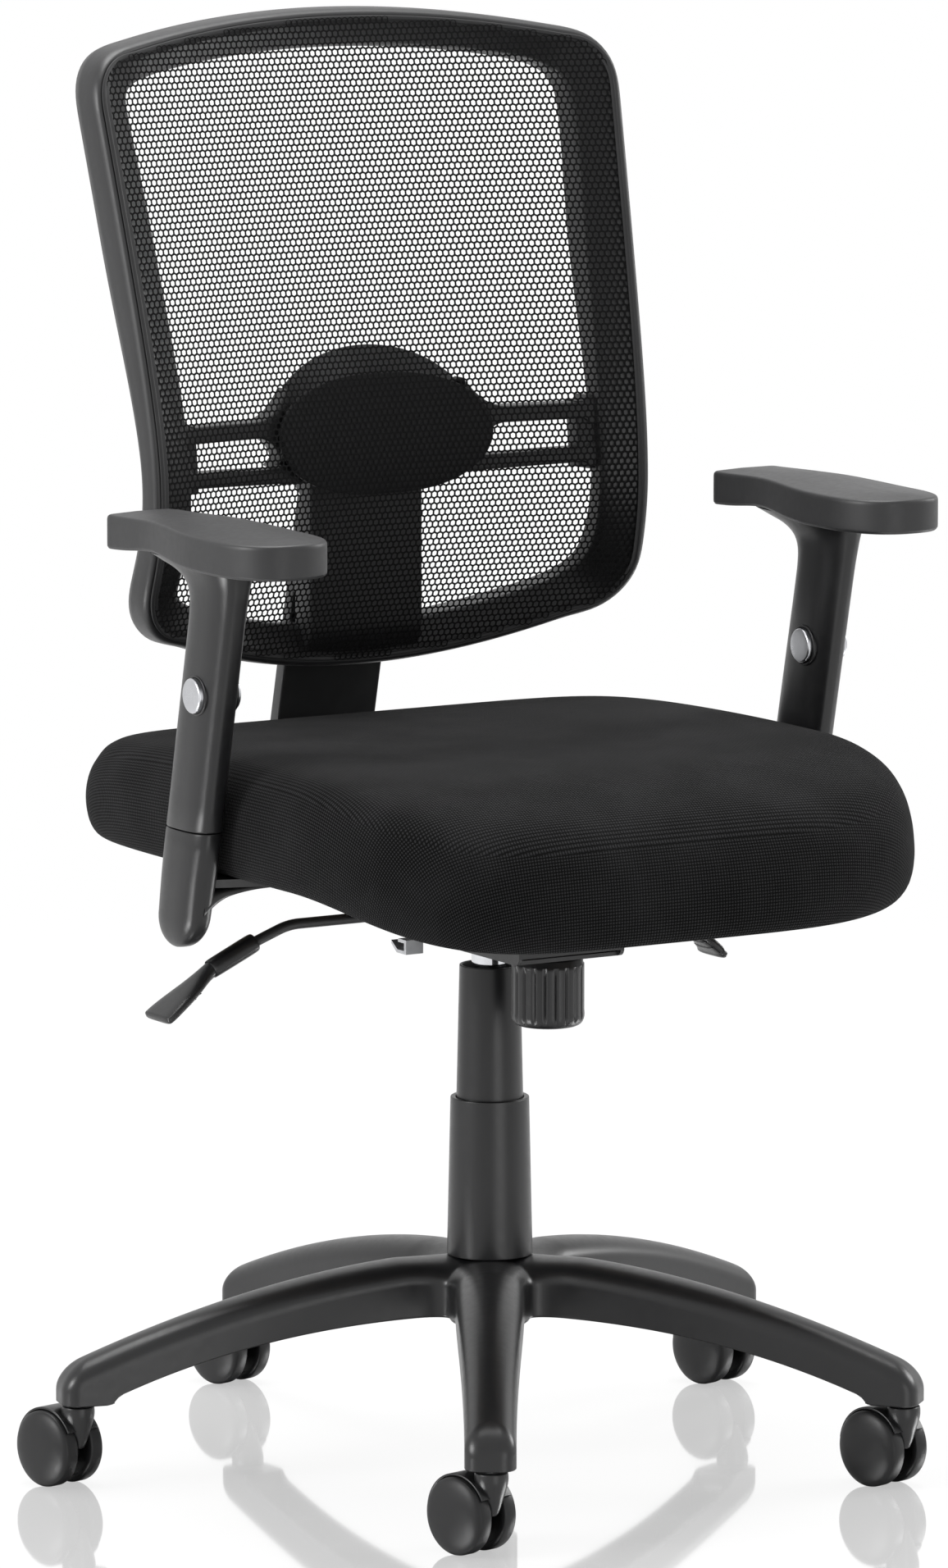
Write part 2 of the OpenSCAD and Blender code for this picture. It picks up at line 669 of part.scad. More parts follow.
module seat_cushion() {
    top = seat_top_z;
    // Share of the outline, height, share of the front's droop, share of the top's fall.
    rings = [[0.885, board_z + board_t + 0.2, 0, 0], [0.885, board_z + 0.3, 0, 0],
        [0.94, board_z + 0.3, 0.8, 0], [0.978, board_z + 6, 1, 0], [0.996, board_z + 17, 1, 0],
        [1, board_z + 32, 1, 0], [0.993, top - 36, 1, 0.6], [0.975, top - 20, 1, 1],
        [0.94, top - 8, 1, 1], [0.87, top - 1.5, 0.96, 1], [0.7, top, 0.9, 1],
        [0.35, top - 4, 0.5, 1]];
    color(fabric) loft([for (r = rings) [for (t = [3.75:7.5:356.25]) let (p = seat_pt(r[0], t))
        [p[0], p[1], r[1] + r[2] * seat_drop(p[1]) + r[3] * seat_fall(p[1])]]]);
}

module seat_bolts() {
    color(steel) {
        for (x = [-80, 80], y = seat_bolt_y)
            translate([x, y, board_z - 4 - 4.5]) bolt(6.4, 11, 12, 4.5);
        for (s = [-1, 1], p = arm_bolts)
            translate([s * p[0], p[1], board_z - plate_t - 4.5]) bolt(6.4, plate_t + 7, 12, 4.5);
    }
}

// ---------------------------------------------------------------- arms

plate_t = 6;
arm_bolts = [[150, -52], [150, 6], [190, -23]];
post_w = 32;
post_t = 10;
post_top_z = 700;
button_travel = 76;
arm_mid_y = -41;
arm_mid_z = 611;
lean_slope = tan(arm_lean);

// Middle of the upright at height z.
function upright_y(z) = arm_mid_y - (z - arm_mid_z) * lean_slope;

function upright_ring(z, depth, thick, shift) = [for (t = [0:15:345])
    let (p = super_pt(thick / 2, depth / 2, 2.7, t)) [p[0], p[1] + upright_y(z) + shift, z]];

// A post that leans with the upright, between two heights.
module leaning_post(z0, z1, w, t) {
    multmatrix([[1, 0, 0, 0], [0, 1, -lean_slope, arm_mid_y + arm_mid_z * lean_slope],
        [0, 0, 1, 0]]) translate([-t / 2, -w / 2, z0]) cube([t, w, z1 - z0]);
}

// Everything of one arm is drawn on the middle plane x = 0 with the seat towards +X.
module arm_bracket() {
    top = sleeve_z - loose;
    nose = 417;
    d = upright_depth;
    t = upright_t;
    difference() {
        union() {
            loft(concat([for (a = [18:18:90]) upright_ring(nose + 26 * (1 - cos(a)),
                d * 0.94 * sin(a), t * 0.94 * mix(sin(a), 1, 0.25), 0)],
                [upright_ring(470, d * 0.97, t, 0), upright_ring(top, d, t, 0)]) );
            translate([0, upright_y(462), 0]) rotate([90, 0, 0]) translate([0, 0, -22])
                linear_extrude(44) polygon([[0, 444], [12, 450], [26, 456], [44, 459],
                    [62, 460], [62, board_z - plate_t], [0, board_z - plate_t]]);
        }
        leaning_post(board_z - plate_t - eps, top + 1, post_w, post_t);
        translate([-post_t / 2, upright_y(462) - post_plate_w / 2, board_z - plate_t])
            cube([60, post_plate_w, plate_t]);
    }
}

post_plate_w = 76;

// Steel post welded to the flat plate that is screwed under the seat board.
module arm_post() {
    y = upright_y(board_z);
    difference() {
        union() {
            leaning_post(board_z - plate_t, post_top_z, post_w, post_t);
            translate([-post_t / 2, 0, board_z - plate_t]) linear_extrude(plate_t) polygon([
                [0, y - post_w / 2], [16, y - 19], [70, y - post_plate_w / 2], [132, y - post_plate_w / 2],
                [132, y + post_plate_w / 2], [70, y + post_plate_w / 2], [16, y + 19], [0, y + post_w / 2]]);
        }
        for (p = arm_bolts) translate([arm_x - p[0], p[1], board_z - plate_t - 1])
            cylinder(h = plate_t + 2, d = 7);
        side_plate(-post_t, 2 * post_t) hull() for (h = [0, button_travel])
            translate([button_y - h * sin(arm_lean), button_z + h * cos(arm_lean)])
                circle(d = button_pin_d + 0.6);
    }
}

button_d = 26;
button_z = 611;
button_y = -45;
button_out = 3.2;
button_pin_d = 8;

module arm_sleeve() {
    top = pad_top_z - pad_t;
    d = upright_depth;
    t = upright_t;
    difference() {
        union() {
            loft([upright_ring(sleeve_z, d, t, 0), upright_ring(sleeve_z + 60, d, t, 0),
                upright_ring(top - 40, d, t, 0), upright_ring(top - 22, d * 1.06, t * 1.08, -1),
                upright_ring(top - 10, d * 1.2, t * 1.25, -3), upright_ring(top - 4, d * 1.4, t * 1.5, -5),
                upright_ring(top - 0.2, d * 1.75, t * 1.8, -8)]);
            translate([-t / 2 - 1.2, button_y, button_z]) rotate([0, 90, 0])
                cylinder(h = t + 2.4, d = button_d + 6);
        }
        leaning_post(sleeve_z - 1, post_top_z + 6, post_w + 2 * loose, post_t + 2 * loose);
        translate([-t, button_y, button_z]) rotate([0, 90, 0])
            cylinder(h = 2 * t, d = button_d + 2 * running);
    }
}

// One push-through button: a chromed cap on each face joined by a pin through the post's slot.
module arm_button() {
    reach = upright_t / 2 + button_out;
    inner = post_t / 2 + 5;
    for (s = [-1, 1]) translate([0, button_y, button_z]) rotate([0, 90 * s, 0])
        rotate_extrude() polygon([[0, 0], [button_pin_d / 2, 0], [button_pin_d / 2, inner],
            [button_d / 2, inner], [button_d / 2, reach - 1.2], [button_d / 2 - 1.2, reach],
            [button_d / 4, reach + 0.5], [0, reach + 0.6]]);
}

// Half width of the pad at a share s of its length, from the rear (0) to the front (1).
function pad_half_w(s) = mix(21, 39, smooth((s - 0.12) / 0.6))
    * sqrt(max(0, 1 - pow(max(0, (0.09 - s) / 0.09), 2.2)))
    * sqrt(max(0, 1 - pow(max(0, (s - 0.8) / 0.2), 2.2)));
pad_rear_y = 86;
pad_len = 264;
// Outline of the pad, drawn in by a given width all round; counter-clockwise from the front.
function pad_outline(inset) = let (n = 20, mid = pad_rear_y - pad_len / 2,
    kx = 1 - inset / 30, ky = 1 - 2 * inset / pad_len) concat(
    [for (i = [0:n]) let (s = (1 + cos(180 * i / n)) / 2)
        [kx * pad_half_w(s), mid + ky * (pad_len / 2 - s * pad_len)]],
    [for (i = [n - 1:-1:1]) let (s = (1 + cos(180 * i / n)) / 2)
        [-kx * pad_half_w(s), mid + ky * (pad_len / 2 - s * pad_len)]]);

module arm_pad() {
    z0 = pad_top_z - pad_t;
    levels = [[z0, 3], [z0 + 2, 0.8], [z0 + 5, 0], [pad_top_z - 7, 0], [pad_top_z - 3, 1.2],
        [pad_top_z - 1, 4], [pad_top_z, 9]];
    loft([for (l = levels) [for (p = pad_outline(l[1])) [p[0], p[1], l[0]]]]);
}

module left_side() { translate([-arm_x, 0, 0]) children(); }
module right_side() { translate([arm_x, 0, 0]) mirror([1, 0, 0]) children(); }

module left_arm_bracket() { color(plastic) left_side() arm_bracket(); }
module right_arm_bracket() { color(plastic) right_side() arm_bracket(); }
module left_arm_post() { color(black_steel) left_side() arm_post(); }
module right_arm_post() { color(black_steel) right_side() arm_post(); }
module left_arm_sleeve() { color(plastic) left_side() arm_sleeve(); }
module right_arm_sleeve() { color(plastic) right_side() arm_sleeve(); }
module left_arm_pad() { color(plastic) left_side() arm_pad(); }
module right_arm_pad() { color(plastic) right_side() arm_pad(); }
module left_arm_button() { color(chrome) left_side() arm_button(); }
module right_arm_button() { color(chrome) right_side() arm_button(); }

// ---------------------------------------------------------------- back

waist_z = 738;
// Half width of the rim at height z, and the rim's top and bottom at distance x.
function rim_w(z) = back_half_w + 0.056 * (sqrt(pow(z - waist_z, 2) + 3600) - 60);
function rim_top(x) = back_top_z - 0.00052 * x * x;
function rim_bottom(x) = back_bottom_z + 0.0010 * x * x;
// The net's front surface: leans back above the waist, sweeps back below it, hollow across.
function net_y(x, z) = let (h = z - waist_z + 10)
    back_y + (h > 0 ? 0.28 : 0.52) * (sqrt(h * h + 6400) - 80)
    + back_wrap * (1 - pow(x / rim_w(z), 2));

top_corner = 34;
bottom_corner = 42;

// Right half of the rim from the top middle round to the bottom middle, as x and z.
function half_rim() = let (
    wt = rim_w(back_top_z - 60), wb = rim_w(back_bottom_z + 70),
    xt = wt - top_corner, zt = rim_top(xt) - top_corner,
    xb = wb - bottom_corner, zb = rim_bottom(xb) + bottom_corner)
    concat(
        [for (i = [0:5]) let (x = xt * i / 6) [x, rim_top(x)]],
        [for (a = [84:-14:0]) [xt + top_corner * cos(a), zt + top_corner * sin(a)]],
        [for (i = [1:9]) let (z = mix(zt, zb, i / 10)) [rim_w(z), z]],
        [for (a = [0:-15:-75]) [xb + bottom_corner * cos(a), zb + bottom_corner * sin(a)]],
        [for (i = [5:-1:0]) let (x = xb * i / 6) [x, rim_bottom(x)]]);

function rim_path() = let (h = half_rim(), n = len(h)) concat(h,
    [for (i = [n - 2:-1:1]) [-h[i][0], h[i][1]]]);

// Section of the rail: outward distance and depth behind the rim.
rail_section = [[0, 0], [3, 2], [5, 8], [5, 24], [2, frame_depth - 5], [-4, frame_depth],
    [-rail_w + 6, frame_depth + 2], [-rail_w, frame_depth - 2], [-rail_w, 16], [-rail_w + 4, 12],
    [-5, 2.5]];

module rails() {
    p = rim_path();
    n = len(p);
    loft([for (i = [0:n - 1]) let (d = p[(i + 1) % n] - p[(i + n - 1) % n],
        out = [-d[1], d[0]] / norm(d), y = net_y(p[i][0], p[i][1]))
        [for (k = [len(rail_section) - 1:-1:0]) let (s = rail_section[k],
            across = s[0] < 0 ? s[0] * (1 + 0.25 * min(0, out[1])) : s[0],
            back = s[1] * (1 - 0.15 * exp(-pow((p[i][1] - waist_z) / 55, 2))))
            [p[i][0] + out[0] * across, y + back, p[i][1] + out[1] * across]]],
        closed = true);
}

// A slab that follows the net's surface, between two depths behind it.
// left and right give the two x limits for each of the heights in zs.
module back_slab(zs, left, right, d0, d1, cols) {
    grid = function (d) [for (i = [0:len(zs) - 1]) [for (j = [0:cols])
        let (x = mix(left[i], right[i], j / cols)) [x, net_y(x, zs[i]) + d[i], zs[i]]]];
    sheet(grid(d0), grid(d1));
}

hub_z = 770;
hub_half_w = 90;
hub_h = 63;
spine_half_w = 50;
hub_depth = 8;         // depth of the hub's face behind the net
spine_y = 184.5;       // front face of the spine

// Depths of the hub's and spine's front and rear faces behind the net.
function hub_front(z) = mix(max(3, spine_y - net_y(0, z)), hub_depth, smooth((z - 734) / 22));
function hub_rear(z) = min(hub_front(z) + mix(24, 18, smooth((z - 740) / 30)),
    z < bar_top_z + 6 ? bar_front(z) - 0.6 - net_y(0, z) : 99);

module hub_and_spine() {
    n = 9;
    arc = [for (a = [10:10:80]) a];
    zs = concat([for (i = [0:n]) mix(back_bottom_z + 8, 730, i / n)], [735, 741, 748, hub_z],
        [for (a = arc) hub_z + hub_h * sin(a)]);
    ws = concat([for (i = [0:n]) spine_half_w], [for (z = [735, 741, 748, hub_z])
        mix(spine_half_w, hub_half_w, smooth((z - 728) / 22))], [for (a = arc) hub_half_w * cos(a)]);
    back_slab(zs, [for (w = ws) -w], ws, [for (z = zs) hub_front(z)], [for (z = zs) hub_rear(z)], 8);
}

// Block on the spine's rear face that the bar is bolted against.
module spine_block() {
    w = 2 * spine_half_w - 8;
    z0 = 640;
    z1 = bar_top_z - 3;
    translate([-w / 2, 0, 0]) rotate([90, 0, 90]) linear_extrude(w) polygon([
        [spine_y + 10, z0], [bar_front(z0 + 6), z0 + 6], [bar_front(z1), z1], [spine_y + 10, z1 + 2]]);
}

module side_bar(s, z_hub, z_rail, h) {
    x0 = 70;
    x1 = back_half_w - rail_w + 4;
    n = 4;
    xs = [for (i = [0:n]) mix(x0, x1, i / n)];
    f = function (d) [for (k = [-1, 1]) [for (x = xs)
        let (z = mix(z_hub, z_rail, smooth((x - x0) / (x1 - x0))) + k * h / 2)
        [x, net_y(x, z) + d, z]]];
    mirror([s < 0 ? 1 : 0, 0, 0]) sheet(f(11), f(31));
}

// Web that ties the two side bars to the rail.
module bar_web(s) {
    zs = [for (i = [0:4]) mix(733, 784, i / 4)];
    mirror([s < 0 ? 1 : 0, 0, 0]) back_slab(zs, [for (z = zs) 168],
        [for (z = zs) back_half_w - rail_w + 5], [for (z = zs) 12.5], [for (z = zs) 29.5], 2);
}

module back_frame() {
    color(plastic) difference() {
        union() {
            // The moulded skin is joined as one mesh. Zeroes keep its size as drawn.
            resize([0, 0, 0]) {
                rails();
                hub_and_spine();
                for (s = [-1, 1]) {
                    side_bar(s, 776, 779, 14);
                    side_bar(s, 740, 742, 12);
                    bar_web(s);
                }
            }
            spine_block();
        }
        back_bar_pocket();
    }
}

module back_bar_pocket() {
    // The bottom rail is relieved where the bar passes behind it.
    translate([-bar_w / 2 - 2, 0, 0]) rotate([90, 0, 90]) linear_extrude(bar_w + 4) polygon([
        [bar_front(570) - 0.6, 570], [bar_front(570) + 40, 570],
        [bar_front(632) + 40, 632], [bar_front(632) - 0.6, 632]]);
    for (x = [-24, 24], z = bar_bolt_z) translate([x, bar_front(z) - 20, z]) rotate([-90, 0, 0])
        cylinder(h = 60, d = 8.1);
}

net_t = 1.2;

module back_net() {
    rows = 20;
    cols = 20;
    inset = 1.5;
    drop = function (x, w, r) let (o = max(0, abs(x) - (w - r))) r - sqrt(max(0, r * r - o * o));
    grid = function (d) [for (i = [0:rows]) [for (j = [0:cols]) let (
        s = sin(90 * mix(-1, 1, j / cols)), w = back_half_w - inset, x0 = s * w,
        lo = rim_bottom(x0) + drop(x0, w, bottom_corner) + inset,
        hi = rim_top(x0) - drop(x0, w, top_corner) - inset,
        z = mix(lo, hi, i / rows), x = s * (rim_w(z) - inset)) [x, net_y(x, z) + d, z]]];
    color(fabric) sheet(grid(-net_t), grid(-0.05));
}

module lumbar_pad() {
    n = 12;
    zc = 768;
    hh = 46;
    hw = 94;
    zs = [for (i = [0:n]) zc - hh * cos(mix(12, 168, i / n))];
    ws = [for (i = [0:n]) hw * pow(sin(mix(12, 168, i / n)), 0.8)];
    color(plastic) back_slab(zs, [for (w = ws) -w], ws, [for (z = zs) 1.2], [for (z = zs) hub_depth - 0.2], 8);
}

// ---------------------------------------------------------------- casters

// Places its children with the stem's axis on Z and the trail towards +X.
module at_caster(i) {
    a = stem_angles[i - 1];
    translate([stem_circle_r * cos(a), stem_circle_r * sin(a), 0]) rotate(caster_heading) children();
}

neck_top_z = arm_end_z - 2;
neck_d = 25;

module caster_body() {
    web_t = wheel_gap - 2 * 0.6;
    hood_r = wheel_r + 2.4;
    hood_w = caster_w - 16;
    difference() {
        union() {
            // Round neck that tapers to a wedge in front of the wheels.
            loft([for (l = [[neck_top_z, 12.5, 12.5, 0], [neck_top_z - 8, 12.5, 12, 0],
                [46, 8.5, 9, -1], [34, 5, 6, -2], [31, 3, 4, -2]])
                [for (t = [345:-15:0]) [l[1] * cos(t) + l[3] - 1, l[2] * sin(t), l[0]]]]);
            // Web between the wheels.
            translate([caster_trail, 0, wheel_r]) rotate([90, 0, 0])
                cylinder(h = web_t, r = wheel_r - 4, center = true);
            // Hood over the inner halves of the wheels.
            translate([caster_trail, 0, wheel_r]) rotate([90, 0, 0]) rotate(8)
                rotate_extrude(angle = 142) polygon([[wheel_r - 6, -hood_w / 2],
                    [hood_r - 0.6, -hood_w / 2], [hood_r, -hood_w / 2 + 0.6],
                    [hood_r, hood_w / 2 - 0.6], [hood_r - 0.6, hood_w / 2],
                    [wheel_r - 6, hood_w / 2]]);
        }
        translate([0, 0, neck_top_z - 14]) cylinder(h = 20, d = stem_d);
        translate([caster_trail, 0, wheel_r]) rotate([90, 0, 0])
            cylinder(h = 60, d = axle_d, center = true);
        for (s = [-1, 1]) translate([caster_trail, s * (web_t / 2 + 20), wheel_r]) rotate([90, 0, 0])
            cylinder(h = 40, r = wheel_r + 0.8, center = true);
    }
}

module caster_pins() {
    translate([0, 0, neck_top_z - 14]) cylinder(h = arm_end_z + 24 - neck_top_z + 14, d = stem_d - 0.02);
    translate([caster_trail, 0, wheel_r]) rotate([90, 0, 0])
        cylinder(h = caster_w - 12, d = axle_d - 0.02, center = true);
}

// One wheel of a pair, s = 1 on the +Y side: tread, domed outer face, recessed inner face.
module caster_wheel(s) {
    in = wheel_gap / 2;
    out = caster_w / 2;
    dome = 6.5;
    translate([caster_trail, 0, wheel_r]) mirror([0, s > 0 ? 0 : 1, 0]) rotate([-90, 0, 0])
        rotate_extrude() polygon(concat(
            [[axle_d / 2 + running, in + 0.1], [10, in + 0.1], [10, in + 3], [wheel_r - 6, in + 3],
                [wheel_r - 4, in + 0.1], [wheel_r - 1, in + 0.1], [wheel_r, in + 1]],
            [for (a = [0:15:90]) let (c = wheel_r - 4) [c * cos(a) + 4 * cos(a),
                out - dome + dome * sin(a)]],
            [[0, out - 4.5], [axle_d / 2 + running, out - 4.5]]));
}

module caster_body_n(i) { color(plastic) at_caster(i) caster_body(); }
module caster_pins_n(i) { color(steel) at_caster(i) caster_pins(); }
module caster_wheel_n(i, s) { color(plastic) at_caster(i) caster_wheel(s); }

// ---------------------------------------------------------------- drawing

star_base();
stand_tube();
guide_sleeve();
thrust_bearing();
lower_cover();
piston_rod();
gas_cylinder();
upper_cover();
tilt_housing();
tilt_shafts();
stop_bracket();
valve_pin();
tension_knob();
tension_nut();
tension_spring();
gas_lever();
gas_paddle();
lock_lever();
lock_paddle();
seat_plate();
seat_board();
seat_cushion();
seat_bolts();
back_bracket();
link_pin();
back_bar();
back_bolts();
back_frame();
back_net();
lumbar_pad();
left_arm_bracket();
left_arm_post();
left_arm_sleeve();
left_arm_pad();
left_arm_button();
right_arm_bracket();
right_arm_post();
right_arm_sleeve();
right_arm_pad();
right_arm_button();
for (i = [1:caster_count]) {
    caster_body_n(i);
    caster_pins_n(i);
    caster_wheel_n(i, 1);
    caster_wheel_n(i, -1);
}
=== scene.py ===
"""Swivel office chair with a net back: the surfaces that are seen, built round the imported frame.

Lengths in the classes are millimetres in the chair's own frame. The origin is on the floor under
the gas column, +Z is up and the sitter faces -Y. The pressed steel, gas spring, bolts, seat board
and inner parts keep their frame nodes and get their finishes here. The rest are new surfaces.
"""

import logging
import math
from dataclasses import dataclass
from enum import Enum

import bmesh
import bpy
import numpy as np
from mathutils import Euler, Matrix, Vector


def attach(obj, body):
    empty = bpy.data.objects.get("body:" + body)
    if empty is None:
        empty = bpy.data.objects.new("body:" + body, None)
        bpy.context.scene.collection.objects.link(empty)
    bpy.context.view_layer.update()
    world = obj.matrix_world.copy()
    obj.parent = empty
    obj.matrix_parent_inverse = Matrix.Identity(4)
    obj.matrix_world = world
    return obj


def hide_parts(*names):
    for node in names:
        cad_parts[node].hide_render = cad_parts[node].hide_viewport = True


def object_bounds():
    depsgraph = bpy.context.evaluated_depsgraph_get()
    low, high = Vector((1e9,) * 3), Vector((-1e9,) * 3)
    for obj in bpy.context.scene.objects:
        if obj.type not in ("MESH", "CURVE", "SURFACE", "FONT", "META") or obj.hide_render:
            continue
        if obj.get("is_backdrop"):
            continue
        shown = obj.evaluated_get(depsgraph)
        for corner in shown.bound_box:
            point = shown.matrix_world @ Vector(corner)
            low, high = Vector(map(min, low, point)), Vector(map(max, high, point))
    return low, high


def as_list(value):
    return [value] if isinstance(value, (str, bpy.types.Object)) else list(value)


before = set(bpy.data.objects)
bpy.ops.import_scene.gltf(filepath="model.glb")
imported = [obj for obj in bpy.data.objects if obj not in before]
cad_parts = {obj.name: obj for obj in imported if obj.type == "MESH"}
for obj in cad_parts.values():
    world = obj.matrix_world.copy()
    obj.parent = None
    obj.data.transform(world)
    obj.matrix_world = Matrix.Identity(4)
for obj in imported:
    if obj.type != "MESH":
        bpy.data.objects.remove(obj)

CAD_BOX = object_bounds()
LOG = logging.getLogger("chair")
MM = 0.001
# Points closer than this, in metres, become one, and edges shorter than the next are taken out.
MERGE_DISTANCE = 2e-6
NO_LENGTH = 1e-7
# Edges that bend more than this stay crisp, unless a piece sets its own angle.
SHARP_DEG = 40.0
CLOTH_MAP = "Cloth"
# Most of a noise's values lie between these two.
NOISE_MIDDLE = (0.3, 0.7)
Array = np.ndarray


# ------------------------------------------------------------------ curves and surfaces


def mix(a: float | Array, b: float | Array, t: float | Array) -> float | Array:
    """Straight blend from a at t = 0 to b at t = 1."""
    return a + (b - a) * t


def smooth(t: float | Array) -> float | Array:
    """Eased step: 0 below 0, 1 above 1, and 3u^2 - 2u^3 between."""
    u = np.clip(t, 0.0, 1.0)
    return u * u * (3.0 - 2.0 * u)


def stack(*columns: float | Array) -> Array:
    """Puts coordinates side by side in the last axis, stretched to one shape."""
    return np.stack(np.broadcast_arrays(*[np.asarray(c, float) for c in columns]), -1)


def signed_power(value: float | Array, power: float | Array) -> float | Array:
    """Power of the size of a value, with the value's sign: what squares off a circle's sine."""
    return np.sign(value) * np.abs(value) ** power


def circle_steps(count: int) -> Array:
    """Angles of count equal steps round a full turn, from 0."""
    return np.linspace(0, 2 * np.pi, count, endpoint=False)


def relaxed(path: Array, passes: int) -> Array:
    """Smooths a closed path: each pass gives a point half itself and a quarter of each neighbour.

    Args:
        path: One point a row.
        passes: How many times.

    Returns:
        The smoother path.
    """
    for _ in range(passes):
        path = (np.roll(path, 1, 0) + 2 * path + np.roll(path, -1, 0)) / 4
    return path


def rounded(
    points: list[tuple[float, float]], radius: float, steps: int = 5, closed: bool = True
) -> Array:
    """Rounds the corners of a polygon.

    Each corner is replaced by a quadratic curve that starts and ends up to radius away from it
    along its two edges, and never past their middles.

    Args:
        points: Corners in order.
        radius: How far each curve reaches from its corner.
        steps: Points on each curve.
        closed: Whether the last corner joins the first. If not, the ends stay sharp.

    Returns:
        The new outline, one point a row.
    """
    p = np.array(points, float)
    before, after = np.roll(p, 1, 0) - p, np.roll(p, -1, 0) - p
    length = [np.linalg.norm(v, axis=1, keepdims=True) for v in (before, after)]
    share = [np.minimum(radius / np.maximum(n, 1e-9), 0.5) for n in length]
    cut = [before * share[0], after * share[1]]
    t = np.linspace(0, 1, steps)[None, :, None]
    start, end = (p + cut[0])[:, None], (p + cut[1])[:, None]
    curve = (1 - t) ** 2 * start + 2 * t * (1 - t) * p[:, None] + t**2 * end
    if closed:
        return curve.reshape(-1, 2)
    return np.vstack([p[:1], curve[1:-1].reshape(-1, 2), p[-1:]])


def eased_curve(knots: Array, per: int) -> Array:
    """Catmull-Rom curve through knots: each span is the cubic whose end slopes are half the
    difference of the neighbouring knots.

    Args:
        knots: One knot a row, with any number of columns.
        per: Points on each span.

    Returns:
        The curve's points, the last knot included.
    """
    k = np.vstack([2 * knots[0] - knots[1], knots, 2 * knots[-1] - knots[-2]])
    t = np.linspace(0, 1, per, endpoint=False)[None, :, None]
    a, b, c, d = (k[i : len(k) - 3 + i][:, None] for i in range(4))
    square, cube = 2 * a - 5 * b + 4 * c - d, 3 * b - a - 3 * c + d
    curve = 0.5 * (2 * b + (c - a) * t + square * t**2 + cube * t**3)
    return np.vstack([curve.reshape(-1, knots.shape[1]), knots[-1:]])


def even_spacing(path: Array, count: int, closed: bool = False) -> Array:
    """Points at equal distances along a path, by straight interpolation over its length.

    Args:
        path: One point a row.
        count: Points wanted.
        closed: Whether the path runs on from its last point to its first.

    Returns:
        The new path, one point a row.
    """
    p = np.vstack([path, path[:1]]) if closed else path
    run = np.concatenate([[0], np.cumsum(np.linalg.norm(np.diff(p, axis=0), axis=1))])
    at = np.linspace(0, run[-1], count, endpoint=not closed)
    return np.stack([np.interp(at, run, p[:, k]) for k in range(p.shape[1])], -1)


def super_ring(half_a: float | Array, half_b: float | Array, power: float, count: int) -> Array:
    """Superellipse |x/a|^n + |y/b|^n = 1, walked by angle, counter-clockwise.

    Args:
        half_a: Half width, or one for each ring as a column.
        half_b: Half depth, likewise.
        power: Squareness n, 2 for an ellipse.
        count: Points on the ring.

    Returns:
        Points with x and y in the last axis.
    """
    t = circle_steps(count)
    x, y = signed_power(np.cos(t), 2 / power), signed_power(np.sin(t), 2 / power)
    return stack(half_a * x, half_b * y)


def turned(points: Array, degrees: float, shift: tuple[float, float] = (0.0, 0.0)) -> Array:
    """Turns points about +Z, then shifts them in X and Y.

    Args:
        points: Points with x, y and z in the last axis.
        degrees: Angle of the turn, counter-clockwise from above.
        shift: Distance moved in X and in Y.

    Returns:
        The moved points.
    """
    a = math.radians(degrees)
    c, s = math.cos(a), math.sin(a)
    x, y, z = points[..., 0], points[..., 1], points[..., 2]
    return stack(c * x - s * y + shift[0], s * x + c * y + shift[1], z)


